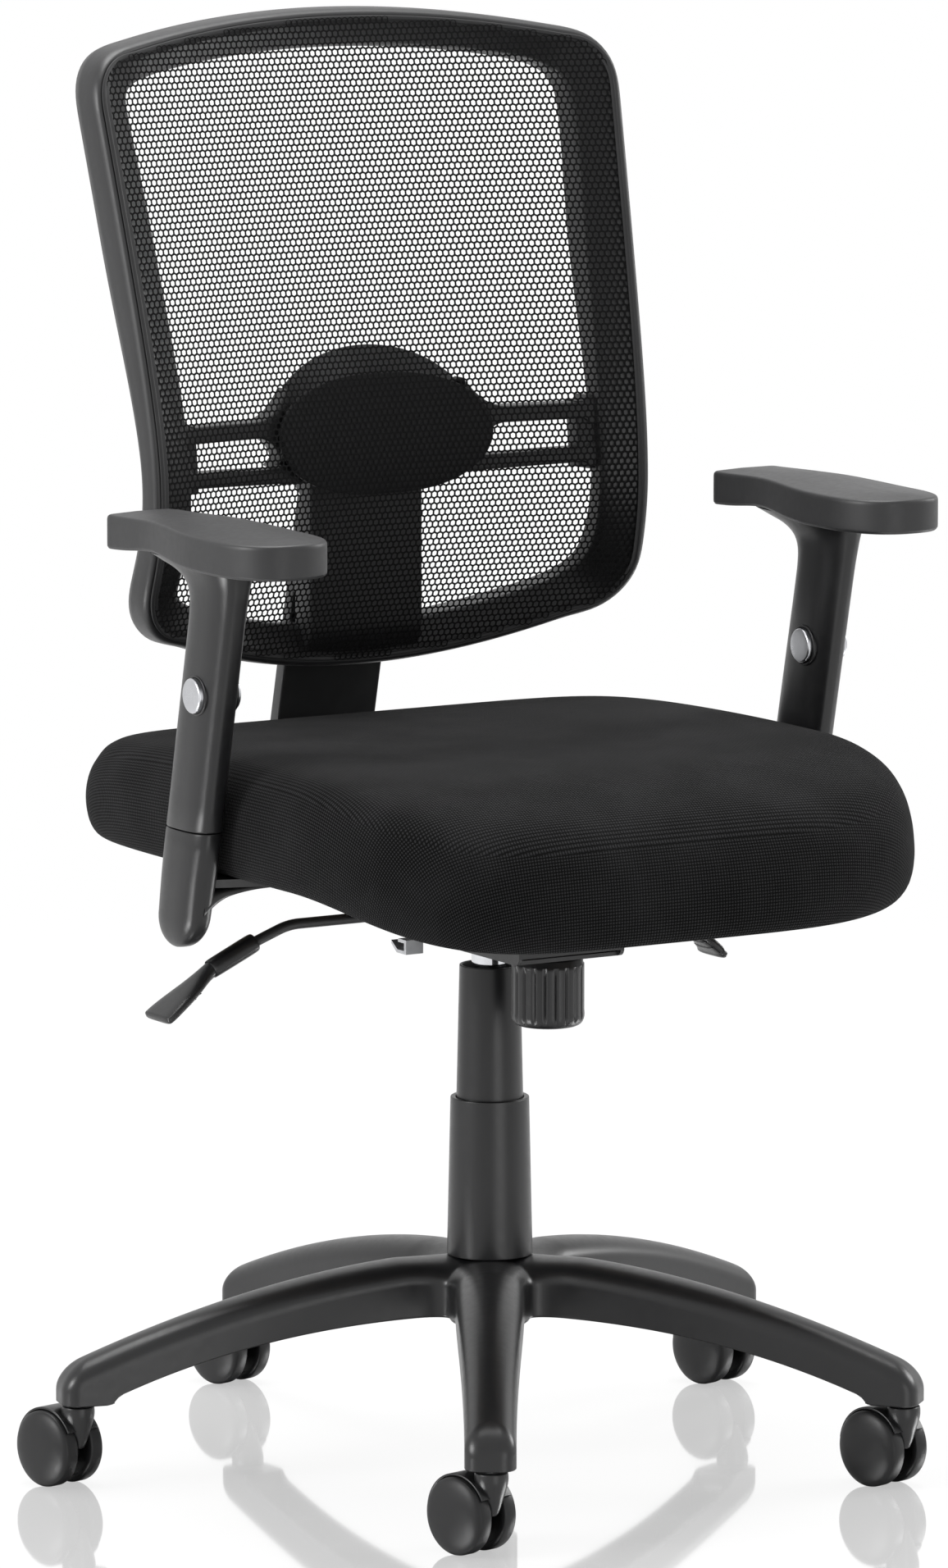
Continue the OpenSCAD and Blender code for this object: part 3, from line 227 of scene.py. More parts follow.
class Surface:
    """Gathers closed grids of points, and makes them one mesh that faces outwards."""

    def __init__(self) -> None:
        """Starts empty."""
        self.points: list[Array] = []
        self.faces: list[list[int]] = []
        self.uvs: list[Array] = []
        self.count = 0

    def add(self, points: Array, faces: list[Array], uv: Array | None = None) -> "Surface":
        """Adds points with the faces between them.

        Args:
            points: One point a row.
            faces: Arrays of faces, each a row of indices that count from the first point given.
            uv: Place of each point on the cloth map, one a row.

        Returns:
            This surface, for more to be added.
        """
        self.points.append(points)
        self.uvs.append(np.zeros((len(points), 2)) if uv is None else uv)
        for f in faces:
            self.faces.extend((f + self.count).tolist())
        self.count += len(points)
        return self

    def grid(
        self, points: Array, wrap_rows: bool = False, caps: bool = True, uv: Array | None = None
    ) -> "Surface":
        """Adds a grid of points as quads, whose last column joins the first.

        Args:
            points: Rows by columns by 3.
            wrap_rows: Whether the last row joins the first.
            caps: Whether the first and last rows are closed with a fan to their middles.
            uv: Rows by columns by 2, for a pattern that follows the surface.

        Returns:
            This surface, for more to be added.
        """
        rows, cols = points.shape[:2]
        i = np.arange(rows if wrap_rows else rows - 1)[:, None]
        j = np.arange(cols)[None, :]
        nxt, low = (j + 1) % cols, ((i + 1) % rows) * cols
        quads = np.stack([i * cols + j, i * cols + nxt, low + nxt, low + j], -1).reshape(-1, 4)
        flat, flat_uv = points.reshape(-1, 3), None if uv is None else uv.reshape(-1, 2)
        faces = [quads]
        if caps and not wrap_rows:
            ring = np.arange(cols)
            flat = np.vstack([flat, points[0].mean(0), points[-1].mean(0)])
            if flat_uv is not None:
                flat_uv = np.vstack([flat_uv, uv[0].mean(0), uv[-1].mean(0)])
            top, end = rows * cols, (rows - 1) * cols
            faces.append(np.stack([np.full(cols, top), np.roll(ring, -1), ring], -1))
            fan = [np.full(cols, top + 1), end + ring, end + np.roll(ring, -1)]
            faces.append(np.stack(fan, -1))
        return self.add(flat, faces, flat_uv)

    def rib(
        self, low: tuple[float, float, float], high: tuple[float, float, float], degrees: float
    ) -> "Surface":
        """Adds a plain rib between two corners, turned about +Z.

        Args:
            low: Its lowest corner before the turn.
            high: Its highest corner before the turn.
            degrees: Angle of the turn.

        Returns:
            This surface, for more to be added.
        """
        k = np.arange(8)
        pick = stack(k & 1, (k >> 1) & 1, (k >> 2) & 1)
        corners = turned(np.array(low) + pick * (np.array(high) - np.array(low)), degrees)
        sides = [[0, 2, 3, 1], [4, 5, 7, 6], [0, 1, 5, 4], [2, 6, 7, 3], [0, 4, 6, 2], [1, 3, 7, 5]]
        return self.add(corners, [np.array(sides)])

    def object(self, name: str, finish: "Finish", sharp: float = SHARP_DEG) -> bpy.types.Object:
        """Makes the mesh object, with doubles merged and faces turned outwards.

        Args:
            name: Piece name.
            finish: The finish it wears.
            sharp: Edges that bend more than this many degrees stay crisp.

        Returns:
            The object, at the origin.
        """
        mesh = bpy.data.meshes.new(name)
        mesh.from_pydata((np.vstack(self.points) * MM).tolist(), [], self.faces)
        corner = np.zeros(len(mesh.loops), np.int32)
        mesh.loops.foreach_get("vertex_index", corner)
        uv = np.vstack(self.uvs)[corner].astype(np.float32)
        mesh.uv_layers.new(name=CLOTH_MAP).data.foreach_set("uv", uv.ravel())
        shell = bmesh.new()
        shell.from_mesh(mesh)
        bmesh.ops.remove_doubles(shell, verts=shell.verts, dist=MERGE_DISTANCE)
        bmesh.ops.dissolve_degenerate(shell, dist=NO_LENGTH, edges=shell.edges)
        bmesh.ops.recalc_face_normals(shell, faces=shell.faces)
        shell.to_mesh(mesh)
        shell.free()
        mesh.shade_smooth()
        mesh.set_sharp_from_angle(angle=math.radians(sharp))
        mesh.materials.append(finish.material())
        made = bpy.data.objects.new(name, mesh)
        bpy.context.scene.collection.objects.link(made)
        return made


def revolve(profile: Array, count: int) -> Array:
    """Grid of a profile's points turned in equal steps about +Z: (r cos a, r sin a, z).

    Args:
        profile: Radius and height of each point, one a row.
        count: Steps round the axis.

    Returns:
        Grid with a row for each point of the profile.
    """
    a = circle_steps(count)
    r, z = profile[:, 0][:, None], profile[:, 1][:, None]
    return stack(r * np.cos(a), r * np.sin(a), z)


def combine(piece: bpy.types.Object, tool: bpy.types.Object, operation: str) -> None:
    """Joins a tool shape to a piece or cuts it out, and removes the tool.

    Args:
        piece: The piece to change.
        tool: The other shape, which is used up.
        operation: UNION or DIFFERENCE.
    """
    step = piece.modifiers.new("Combine", "BOOLEAN")
    step.object, step.operation, step.solver = tool, operation, "EXACT"
    ready = piece.evaluated_get(bpy.context.evaluated_depsgraph_get())
    made = bpy.data.meshes.new_from_object(ready)
    piece.modifiers.clear()
    old = piece.data
    piece.data = made
    bpy.data.meshes.remove(old)
    bpy.data.objects.remove(tool)
    made.shade_smooth()
    made.set_sharp_from_angle(angle=math.radians(SHARP_DEG))


def fit(made: bpy.types.Object, body: str, slot: str, *nodes: str) -> bpy.types.Object:
    """Lets a finished piece ride on its body and stand for its frame nodes.

    Args:
        made: The piece.
        body: The body that carries it.
        slot: Not used.
        nodes: The frame nodes it stands for.

    Returns:
        The same piece.
    """
    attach(made, body)
    if nodes:
        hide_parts(*nodes)
    LOG.info("%s: %d faces on %s", made.name, len(made.data.polygons), body)
    return made


# ------------------------------------------------------------------ finishes


def linear(code: str) -> tuple[float, float, float, float]:
    """Linear colour of an sRGB hex code, by the standard's straight foot and power curve.

    Args:
        code: Such as "#1b1b1c".

    Returns:
        Red, green, blue and an alpha of 1.
    """
    c = np.array([int(code[k : k + 2], 16) for k in (1, 3, 5)]) / 255.0
    c = np.where(c <= 0.04045, c / 12.92, ((c + 0.055) / 1.055) ** 2.4)
    return (float(c[0]), float(c[1]), float(c[2]), 1.0)


def add_node(
    tree: bpy.types.NodeTree, kind: str, inputs: dict | None = None, **settings: object
) -> bpy.types.Node:
    """Adds one shader node, sets it up and wires it.

    Args:
        tree: The material's nodes.
        kind: Node type.
        inputs: Value or output socket for each input, by its name or place.
        settings: The node's own properties.

    Returns:
        The node.
    """
    made = tree.nodes.new(kind)
    for key, value in settings.items():
        setattr(made, key, value)
    for key, value in (inputs or {}).items():
        if isinstance(value, bpy.types.NodeSocket):
            tree.links.new(value, made.inputs[key])
        else:
            made.inputs[key].default_value = value
    return made


class Finish:
    """A finish makes its material once, and every piece that wears it shares it."""

    name: str

    def material(self) -> bpy.types.Material:
        """The finish's material, which is made when it is first asked for.

        Returns:
            The one material of this name.
        """
        found = bpy.data.materials.get(self.name)
        if found is None:
            found = bpy.data.materials.new(self.name)
            found.use_nodes = True
            found.node_tree.nodes.clear()
            shader = self.build(found.node_tree)
            end = {"Surface": shader.outputs["BSDF"]}
            add_node(found.node_tree, "ShaderNodeOutputMaterial", end)
        return found

    def build(self, tree: bpy.types.NodeTree) -> bpy.types.Node:
        """Wires the finish's nodes, and returns its surface shader."""
        raise NotImplementedError(f"{self.name} wires nothing into {tree.name}")


def solid_noise(
    tree: bpy.types.NodeTree,
    size_mm: float,
    detail: float = 2.0,
    span: tuple[float, float] | None = None,
) -> bpy.types.NodeSocket:
    """Noise through the piece's own space: its place, the lumps, and the range they fill.

    Args:
        tree: The material's nodes.
        size_mm: Rough distance from lump to lump.
        detail: Octaves of finer lumps.
        span: Range that the noise's middle part is stretched to, or None for the bare noise.

    Returns:
        The output with the noise.
    """
    place = add_node(tree, "ShaderNodeTexCoord").outputs["Object"]
    lumps = {"Vector": place, "Scale": 1 / (size_mm * MM), "Detail": detail, "Roughness": 0.55}
    noise = add_node(tree, "ShaderNodeTexNoise", lumps).outputs["Fac"]
    if span is None:
        return noise
    middle = {"From Min": NOISE_MIDDLE[0], "From Max": NOISE_MIDDLE[1]}
    reach = {"Value": noise, "To Min": span[0], "To Max": span[1]} | middle
    return add_node(tree, "ShaderNodeMapRange", reach).outputs["Result"]


def surface_shader(
    tree: bpy.types.NodeTree,
    colours: tuple[str, str],
    share: bpy.types.NodeSocket,
    height: bpy.types.NodeSocket,
    depth_mm: float,
    shine: dict,
) -> bpy.types.Node:
    """What every finish ends in: two colours blended by a pattern, and a relief in one shader.

    Args:
        tree: The material's nodes.
        colours: Hex codes where the share is 0 and where it is 1.
        share: Pattern that picks between them.
        height: Pattern of the relief.
        depth_mm: Depth of the relief where the pattern runs from 0 to 1.
        shine: The shader's other inputs.

    Returns:
        The shader.
    """
    ends = {0: share, 6: linear(colours[0]), 7: linear(colours[1])}
    colour = add_node(tree, "ShaderNodeMix", ends, data_type="RGBA").outputs[2]
    bumps = {"Height": height, "Distance": depth_mm * MM, "Strength": 1.0}
    normal = add_node(tree, "ShaderNodeBump", bumps).outputs["Normal"]
    look = {"Base Color": colour, "Normal": normal} | shine
    return add_node(tree, "ShaderNodeBsdfPrincipled", look)


@dataclass(frozen=True)
class Moulded(Finish):
    """Moulded plastic with an etched grain.

    The eye gets an even dark body colour, faint clouds where the melt cooled unevenly, and a soft
    highlight that the grain breaks up.
    """

    name: str
    colour: str
    cloud: str
    roughness: float
    # A real etching is about 0.4 mm from pit to pit; drawn coarser, so that it shows.
    grain_mm: float
    grain_depth_mm: float
    ior: float
    cloud_mm: float = 45.0
    patch_mm: float = 6.0
    uneven: float = 0.03

    def build(self, tree: bpy.types.NodeTree) -> bpy.types.Node:
        """Clouded colour, roughness that varies a little, and the grain as relief.

        Args:
            tree: The material's nodes.

        Returns:
            The shader.
        """
        rough, uneven = self.roughness, self.uneven
        cloud = solid_noise(tree, self.cloud_mm, 3.0, span=(0.0, 1.0))
        patches = solid_noise(tree, self.patch_mm, span=(rough - uneven, rough + uneven))
        grain = solid_noise(tree, self.grain_mm)
        shine = {"Roughness": patches, "IOR": self.ior}
        colours = (self.colour, self.cloud)
        return surface_shader(tree, colours, cloud, grain, self.grain_depth_mm, shine)


@dataclass(frozen=True)
class Metal(Finish):
    """Bare or plated metal.

    The eye gets a mirror that is blurred by the roughness, with slight patches of haze.
    """

    name: str
    colour: str
    tarnish: str
    roughness: float
    haze: float
    grain_mm: float = 1.5
    grain_depth_mm: float = 0.0015
    haze_mm: float = 18.0
    patch_mm: float = 9.0

    def build(self, tree: bpy.types.NodeTree) -> bpy.types.Node:
        """Full metal with hazed roughness and a very shallow relief.

        Args:
            tree: The material's nodes.

        Returns:
            The shader.
        """
        hazed = self.roughness + self.haze
        haze = solid_noise(tree, self.haze_mm, 4.0, span=(self.roughness, hazed))
        patches = solid_noise(tree, self.patch_mm, span=(0.0, 1.0))
        grain = solid_noise(tree, self.grain_mm)
        shine = {"Metallic": 1.0, "Roughness": haze}
        colours = (self.colour, self.tarnish)
        return surface_shader(tree, colours, patches, grain, self.grain_depth_mm, shine)


@dataclass(frozen=True)
class PowderCoat(Finish):
    """Black powder coat over steel.

    The eye gets a deep black with the low ripple of fused powder and a broad soft highlight.
    """

    name: str
    colour: str
    pale: str
    roughness: float
    ripple_mm: float = 1.1
    ripple_depth_mm: float = 0.02
    tint_mm: float = 30.0
    patch_mm: float = 4.0
    uneven: float = 0.04

    def build(self, tree: bpy.types.NodeTree) -> bpy.types.Node:
        """Nearly even colour with the ripple as relief.

        Args:
            tree: The material's nodes.

        Returns:
            The shader.
        """
        rough, uneven = self.roughness, self.uneven
        tint = solid_noise(tree, self.tint_mm, span=(0.0, 1.0))
        patches = solid_noise(tree, self.patch_mm, span=(rough - uneven, rough + uneven))
        ripple = solid_noise(tree, self.ripple_mm)
        shine = {"Roughness": patches}
        return surface_shader(
            tree, (self.colour, self.pale), tint, ripple, self.ripple_depth_mm, shine
        )


class Weave(Enum):
    """Which thread pattern a cloth has."""

    BASKET = "basket"
    FELT = "felt"


@dataclass(frozen=True)
class Cloth(Finish):
    """Woven polyester, or a pressed felt.

    The eye gets a grid of small thread bumps with painted shade in the hollows between them, a
    soft fibre sheen at shallow angles, and slow changes of tone where the cloth is stretched.
    """

    name: str
    weave: Weave
    # Colour where the weave is lowest: painted shade in the hollows between the threads.
    gap: str
    thread: str
    # Real threads are about 1.2 mm apart; drawn at this pitch so that the weave can be seen.
    pitch_mm: float
    depth_mm: float
    roughness: float
    sheen: float
    gloss: float = 0.06
    sheen_roughness: float = 0.5
    tone_mm: float = 60.0
    tone: float = 0.12

    def build(self, tree: bpy.types.NodeTree) -> bpy.types.Node:
        """Basket: |sin| of each thread direction, picked in turn by a checker on the cloth's own
        map. Felt: solid noise. Height drives both colour and relief; the colour darkens to the gap
        colour where the height is low, which is painted shade in the hollows.

        Args:
            tree: The material's nodes.

        Returns:
            The shader.
        """
        felt = self.weave is Weave.FELT
        height = solid_noise(tree, self.pitch_mm, 6.0) if felt else self.basket(tree)
        tone = solid_noise(tree, self.tone_mm, 3.0, span=(-self.tone, self.tone))
        both = {0: height, 1: tone}
        # Colour share: the weave's height, which paints shade into its hollows, plus a slow random
        # tone.
        painted_shade_and_tone = add_node(tree, "ShaderNodeMath", both, operation="ADD", use_clamp=True)
        shine = {
            "Roughness": self.roughness,
            "Sheen Weight": self.sheen,
            "Sheen Roughness": self.sheen_roughness,
            "Specular IOR Level": self.gloss,
        }
        colours = (self.gap, self.thread)
        return surface_shader(tree, colours, painted_shade_and_tone.outputs[0], height, self.depth_mm, shine)

    def basket(self, tree: bpy.types.NodeTree) -> bpy.types.NodeSocket:
        """Over-and-under threads on the cloth's own map.

        Args:
            tree: The material's nodes.

        Returns:
            Height of the threads, 0 in the gaps and 1 on the crowns.
        """
        place = add_node(tree, "ShaderNodeUVMap", uv_map=CLOTH_MAP).outputs["UV"]
        pitches = {0: place, 1: (1 / self.pitch_mm,) * 3}
        scaled = add_node(tree, "ShaderNodeVectorMath", pitches, operation="MULTIPLY")
        parts = add_node(tree, "ShaderNodeSeparateXYZ", {0: scaled.outputs[0]})
        humps = []
        for axis in ("X", "Y"):
            half_turns = {0: parts.outputs[axis], 1: math.pi}
            turn = add_node(tree, "ShaderNodeMath", half_turns, operation="MULTIPLY")
            wave = add_node(tree, "ShaderNodeMath", {0: turn.outputs[0]}, operation="SINE")
            hump = add_node(tree, "ShaderNodeMath", {0: wave.outputs[0]}, operation="ABSOLUTE")
            humps.append(hump.outputs[0])
        over = add_node(tree, "ShaderNodeTexChecker", {"Vector": scaled.outputs[0], "Scale": 1.0})
        threads = {0: over.outputs["Fac"], 2: humps[0], 3: humps[1]}
        pick = add_node(tree, "ShaderNodeMix", threads, data_type="FLOAT")
        both = add_node(tree, "ShaderNodeMath", {0: humps[0], 1: humps[1]}, operation="MULTIPLY")
        height = {0: pick.outputs[0], 1: both.outputs[0]}
        return add_node(tree, "ShaderNodeMath", height, operation="MULTIPLY").outputs[0]


@dataclass(frozen=True)
class Plywood(Finish):
    """Moulded beech plywood, sanded and left bare.

    The eye gets long pale and darker streaks along one direction, which stand up a little.
    """

    name: str
    pale: str
    dark: str
    roughness: float = 0.6
    streak_mm: float = 6.25
    streak_stretch: float = 0.08
    streak_depth_mm: float = 0.05

    def build(self, tree: bpy.types.NodeTree) -> bpy.types.Node:
        """Noise stretched twelve times along Y, which gives both the streaks and the relief.

        Args:
            tree: The material's nodes.

        Returns:
            The shader.
        """
        place = add_node(tree, "ShaderNodeTexCoord").outputs["Object"]
        stretch = {"Vector": place, "Scale": (1.0, self.streak_stretch, 1.0)}
        along = add_node(tree, "ShaderNodeMapping", stretch).outputs[0]
        size = 1 / (self.streak_mm * MM)
        lines = {"Vector": along, "Scale": size, "Detail": 5.0, "Distortion": 0.4}
        grain = add_node(tree, "ShaderNodeTexNoise", lines).outputs["Fac"]
        low, high = NOISE_MIDDLE
        reach = {"Value": grain, "From Min": low, "From Max": high, "To Min": 0.0, "To Max": 1.0}
        streaks = add_node(tree, "ShaderNodeMapRange", reach).outputs["Result"]
        shine = {"Roughness": self.roughness}
        return surface_shader(
            tree, (self.pale, self.dark), streaks, grain, self.streak_depth_mm, shine
        )


NYLON = Moulded("nylon_glass_filled_moulded", "#101011", "#141415", 0.34, 0.9, 0.03, 1.44)
FRAME_NYLON = Moulded("nylon_frame_moulded", "#19191a", "#1d1d1e", 0.44, 0.9, 0.03, 1.46)
WHEEL_NYLON = Moulded("nylon_wheel_moulded", "#0e0e0f", "#121213", 0.44, 1.2, 0.012, 1.36)
PAD_SKIN = Moulded("polyurethane_skin_moulded", "#1b1b1c", "#202021", 0.48, 1.3, 0.04, 1.46)
LUMBAR_SKIN = Moulded("polypropylene_matt_moulded", "#141415", "#181819", 0.7, 0.9, 0.05, 1.35)
ACETAL = Moulded("acetal_natural_moulded", "#d9d6cc", "#e2dfd6", 0.35, 2.0, 0.005, 1.48)
CHROME = Metal("steel_chrome_plated", "#d6d7da", "#cdced1", 0.06, 0.05)
SATIN_CHROME = Metal("steel_chrome_satin_plated", "#c4c5c8", "#bcbdc0", 0.26, 0.04)
ZINC = Metal("steel_zinc_plated", "#bbbcbe", "#acadb0", 0.42, 0.12, 1.2, 0.004)
STEEL_COAT = PowderCoat("steel_powder_coated", "#121213", "#1c1c1d", 0.44)
# The gap colour of each cloth is painted shade, which fills the hollows of its weave or felt.
SEAT_CLOTH = Cloth(
    "polyester_air_mesh_woven", Weave.BASKET, "#020202", "#2b2b2c", 2.35, 0.5, 0.9, 0.02
)
NET_YARN = Cloth("polyester_net_knitted", Weave.FELT, "#09090a", "#131313", 0.5, 0.05, 0.8, 0.02)
BINDING = Moulded("polyester_tape_knitted", "#161617", "#1b1b1c", 0.6, 0.7, 0.08, 1.4)
WOOD = Plywood("beech_plywood_sanded", "#6b5d4d", "#54483b")


# ------------------------------------------------------------------ base and column


@dataclass
class StarBase:
    """Five-arm base, moulded in one piece and open below, with cross ribs in each arm."""

    arms: int = 5
    first_arm_deg: float = 239.0
    stem_circle: float = 325.0
    hub_top: float = 159.0
    end_foot: float = 65.0
    root_width: float = 52.0
    tip_width: float = 38.0
    end_round: float = 14.0
    nose: float = 24.0
    crown: float = 17.0
    wall: float = 4.5
    end_block: float = 39.0
    tube_radius: float = 21.05
    root_low: float = 118.0
    shoulder: float = 6.0
    root_flare: float = 13.0
    end_corner: float = 12.0
    valley_r: float = 56.0
    flank_start: float = 66.0
    rib_places: tuple[float, ...] = (62.0, 108.0, 154.0, 200.0, 246.0, 290.0)
    rib_half: float = 1.5
    # The ridge falls by fall * distance ** fall_power from fall_from on.
    fall_from: float = 30.0
    fall: float = 0.0023
    fall_power: float = 1.8
    # The lower edge sweeps down over the arm, and steps down to the end block.
    sweep_from: float = 34.0
    sweep_power: float = 2.2
    step_from: float = 296.0
    step_over: float = 8.0
    taper_from: float = 40.0
    taper_over: float = 265.0
    flare_from: float = 20.0
    flare_over: float = 48.0
    valley_reach: float = 7.3
    crown_power: float = 0.86
    inner_power: float = 0.9
    roof: float = 4.0
    lip: float = 0.6

    def arm_angles(self) -> list[float]:
        """Direction of each arm, degrees from +X."""
        return [self.first_arm_deg + k * 360.0 / self.arms for k in range(self.arms)]

    def top(self, r: Array) -> Array:
        """Height of the arm's ridge: level at the hub, then falling with distance to power 1.8."""
        drop = self.fall * np.maximum(0, r - self.fall_from) ** self.fall_power
        return np.minimum(self.hub_top, self.hub_top + 2 - drop)

    def low(self, r: Array) -> Array:
        """Height of the arm's lower edge, with a small shoulder down to the end block."""
        out = np.clip((r - self.sweep_from) / self.taper_over, 0, 1) ** self.sweep_power
        sweep = mix(self.root_low, self.end_foot + self.shoulder, out)
        return mix(sweep, self.end_foot, smooth((r - self.step_from) / self.step_over))

    def half_width(self, r: Array) -> Array:
        """Half width of the arm, flared where it meets the hub."""
        taper = smooth((r - self.taper_from) / self.taper_over)
        flare = (1 - np.clip((r - self.flare_from) / self.flare_over, 0, 1)) ** 2
        return mix(self.root_width, self.tip_width, taper) / 2 + self.root_flare * flare

    def half_outline(self) -> tuple[Array, Array]:
        """Plan of half an arm, from the valley beside the hub to the middle of the end.

        The valley is a quadratic curve, the flank follows half_width, and the end is a flat face
        with its upright corner rounded. Each point has a partner on the arm's axis, towards
        which the crown closes.

        Returns:
            The outline's points, and the distance along the axis of each one's partner.
        """
        end = self.stem_circle + self.end_round
        corner, start = self.end_corner, self.flank_start
        step = math.radians(180.0 / self.arms)
        t = np.linspace(0, 1, 12, endpoint=False)
        v = self.valley_r * np.array([math.cos(step), math.sin(step)])
        c = v + self.valley_reach * np.array([math.sin(step), -math.cos(step)])
        s = np.array([start, float(self.half_width(np.array(start)))])
        bend = stack(*[(1 - t) ** 2 * v[k] + 2 * t * (1 - t) * c[k] + t**2 * s[k] for k in (0, 1)])
        x = np.linspace(start, end - corner, 64)
        flank = stack(x, self.half_width(x))
        w = float(self.half_width(np.array(end - corner)))
        a = np.radians(np.linspace(80, 0, 8))
        round_ = stack(end - corner + corner * np.cos(a), w - corner + corner * np.sin(a))
        face = stack(end, np.linspace(w - corner - 2, 0, 7))
        outline = np.vstack([bend, flank, round_, face])
        axis = np.minimum(np.concatenate([t * start, x, np.full(15, end)]), end - self.nose)
        return outline, axis

    def shell(self) -> Array:
        """Grid of the whole skin: up inside, under the rim, up outside and over the crown.

        A row has a share s, and its points are the partner plus s times the way to the outline.
        Over the crown s is a cosine and the height gains the crown times a sine.

        Returns:
            Grid of points, with a row's five arms one after another.
        """
        outline, axis = self.half_outline()
        out = np.vstack([outline * [1, -1], outline[-2::-1]])[:-1]
        axis = np.concatenate([axis, axis[-2::-1]])[:-1]
        ridge = stack(axis, 0.0)
        reach = np.linalg.norm(out - ridge, axis=1, keepdims=True)
        inside = ridge + (out - ridge) * (1 - self.wall / np.maximum(reach, self.wall + 1))
        limit = self.stem_circle + self.end_round - self.end_block
        inside[:, 0] = np.minimum(inside[:, 0], limit)
        inner_ridge = np.minimum(ridge, [limit - 12, 0])
        low, side = self.low(out[:, 0]), self.top(out[:, 0]) - self.crown
        rows = []
        for angle in (90, 70, 50, 30, 12, 0):
            s, h = math.cos(math.radians(angle)) ** self.inner_power, math.sin(math.radians(angle))
            xy = inner_ridge + (inside - inner_ridge) * s
            top = np.maximum(side - self.roof + (self.crown - 1) * h, low + self.roof)
            rows.append(stack(xy[:, 0], xy[:, 1], top))
        rows.append(stack(inside[:, 0], inside[:, 1], low + self.lip))
        lip = ridge + (out - ridge) * (1 - 0.9 / np.maximum(reach, 1))
        foot = inside * 0.3 + lip * 0.7
        rows.append(stack(foot[:, 0], foot[:, 1], low))
        rows.append(stack(lip[:, 0], lip[:, 1], low))
        for share in (0.02, 0.06, 0.5, 0.94):
            rows.append(stack(out[:, 0], out[:, 1], mix(low + self.lip, side, share)))
        for angle in np.linspace(0, 90, 15):
            s, h = math.cos(math.radians(angle)) ** self.crown_power, math.sin(math.radians(angle))
            xy = ridge + (out - ridge) * s
            rows.append(stack(xy[:, 0], xy[:, 1], self.top(xy[:, 0]) - self.crown * (1 - h)))
        one = np.stack(rows)
        return np.concatenate([turned(one, a) for a in self.arm_angles()], axis=1)

    def build(self) -> None:
        """Skin joined to the hub boss and the ribs under each arm, and bored for the tube."""
        skin = Surface().grid(self.shell(), caps=False).object("base_star", NYLON, 35)
        r = self.tube_radius
        # Radius and height of the boss: a bore, a foot that widens upwards, and its top.
        boss = [(r - 3, 106), (29, 106), (33, 113), (36, 122), (36, 150), (r - 3, 150)]
        inner = Surface().grid(revolve(rounded(boss, 2.5), 96), wrap_rows=True)
        for angle in self.arm_angles():
            for place in self.rib_places:
                at = np.array(place)
                w = float(self.half_width(at)) - self.wall + 0.5
                low, top = float(self.low(at)) + 3, float(self.top(at)) - self.crown
                inner.rib((place - self.rib_half, -w, low), (place + self.rib_half, w, top), angle)
        combine(skin, inner.object("ribs", NYLON), "UNION")
        pin = revolve(np.array([(0, 60.0), (r, 60.0), (r, 200.0), (0, 200.0)]), 96)
        combine(skin, Surface().grid(pin, caps=False).object("pin", NYLON), "DIFFERENCE")
        fit(skin, "base", "nylon", "star_base")


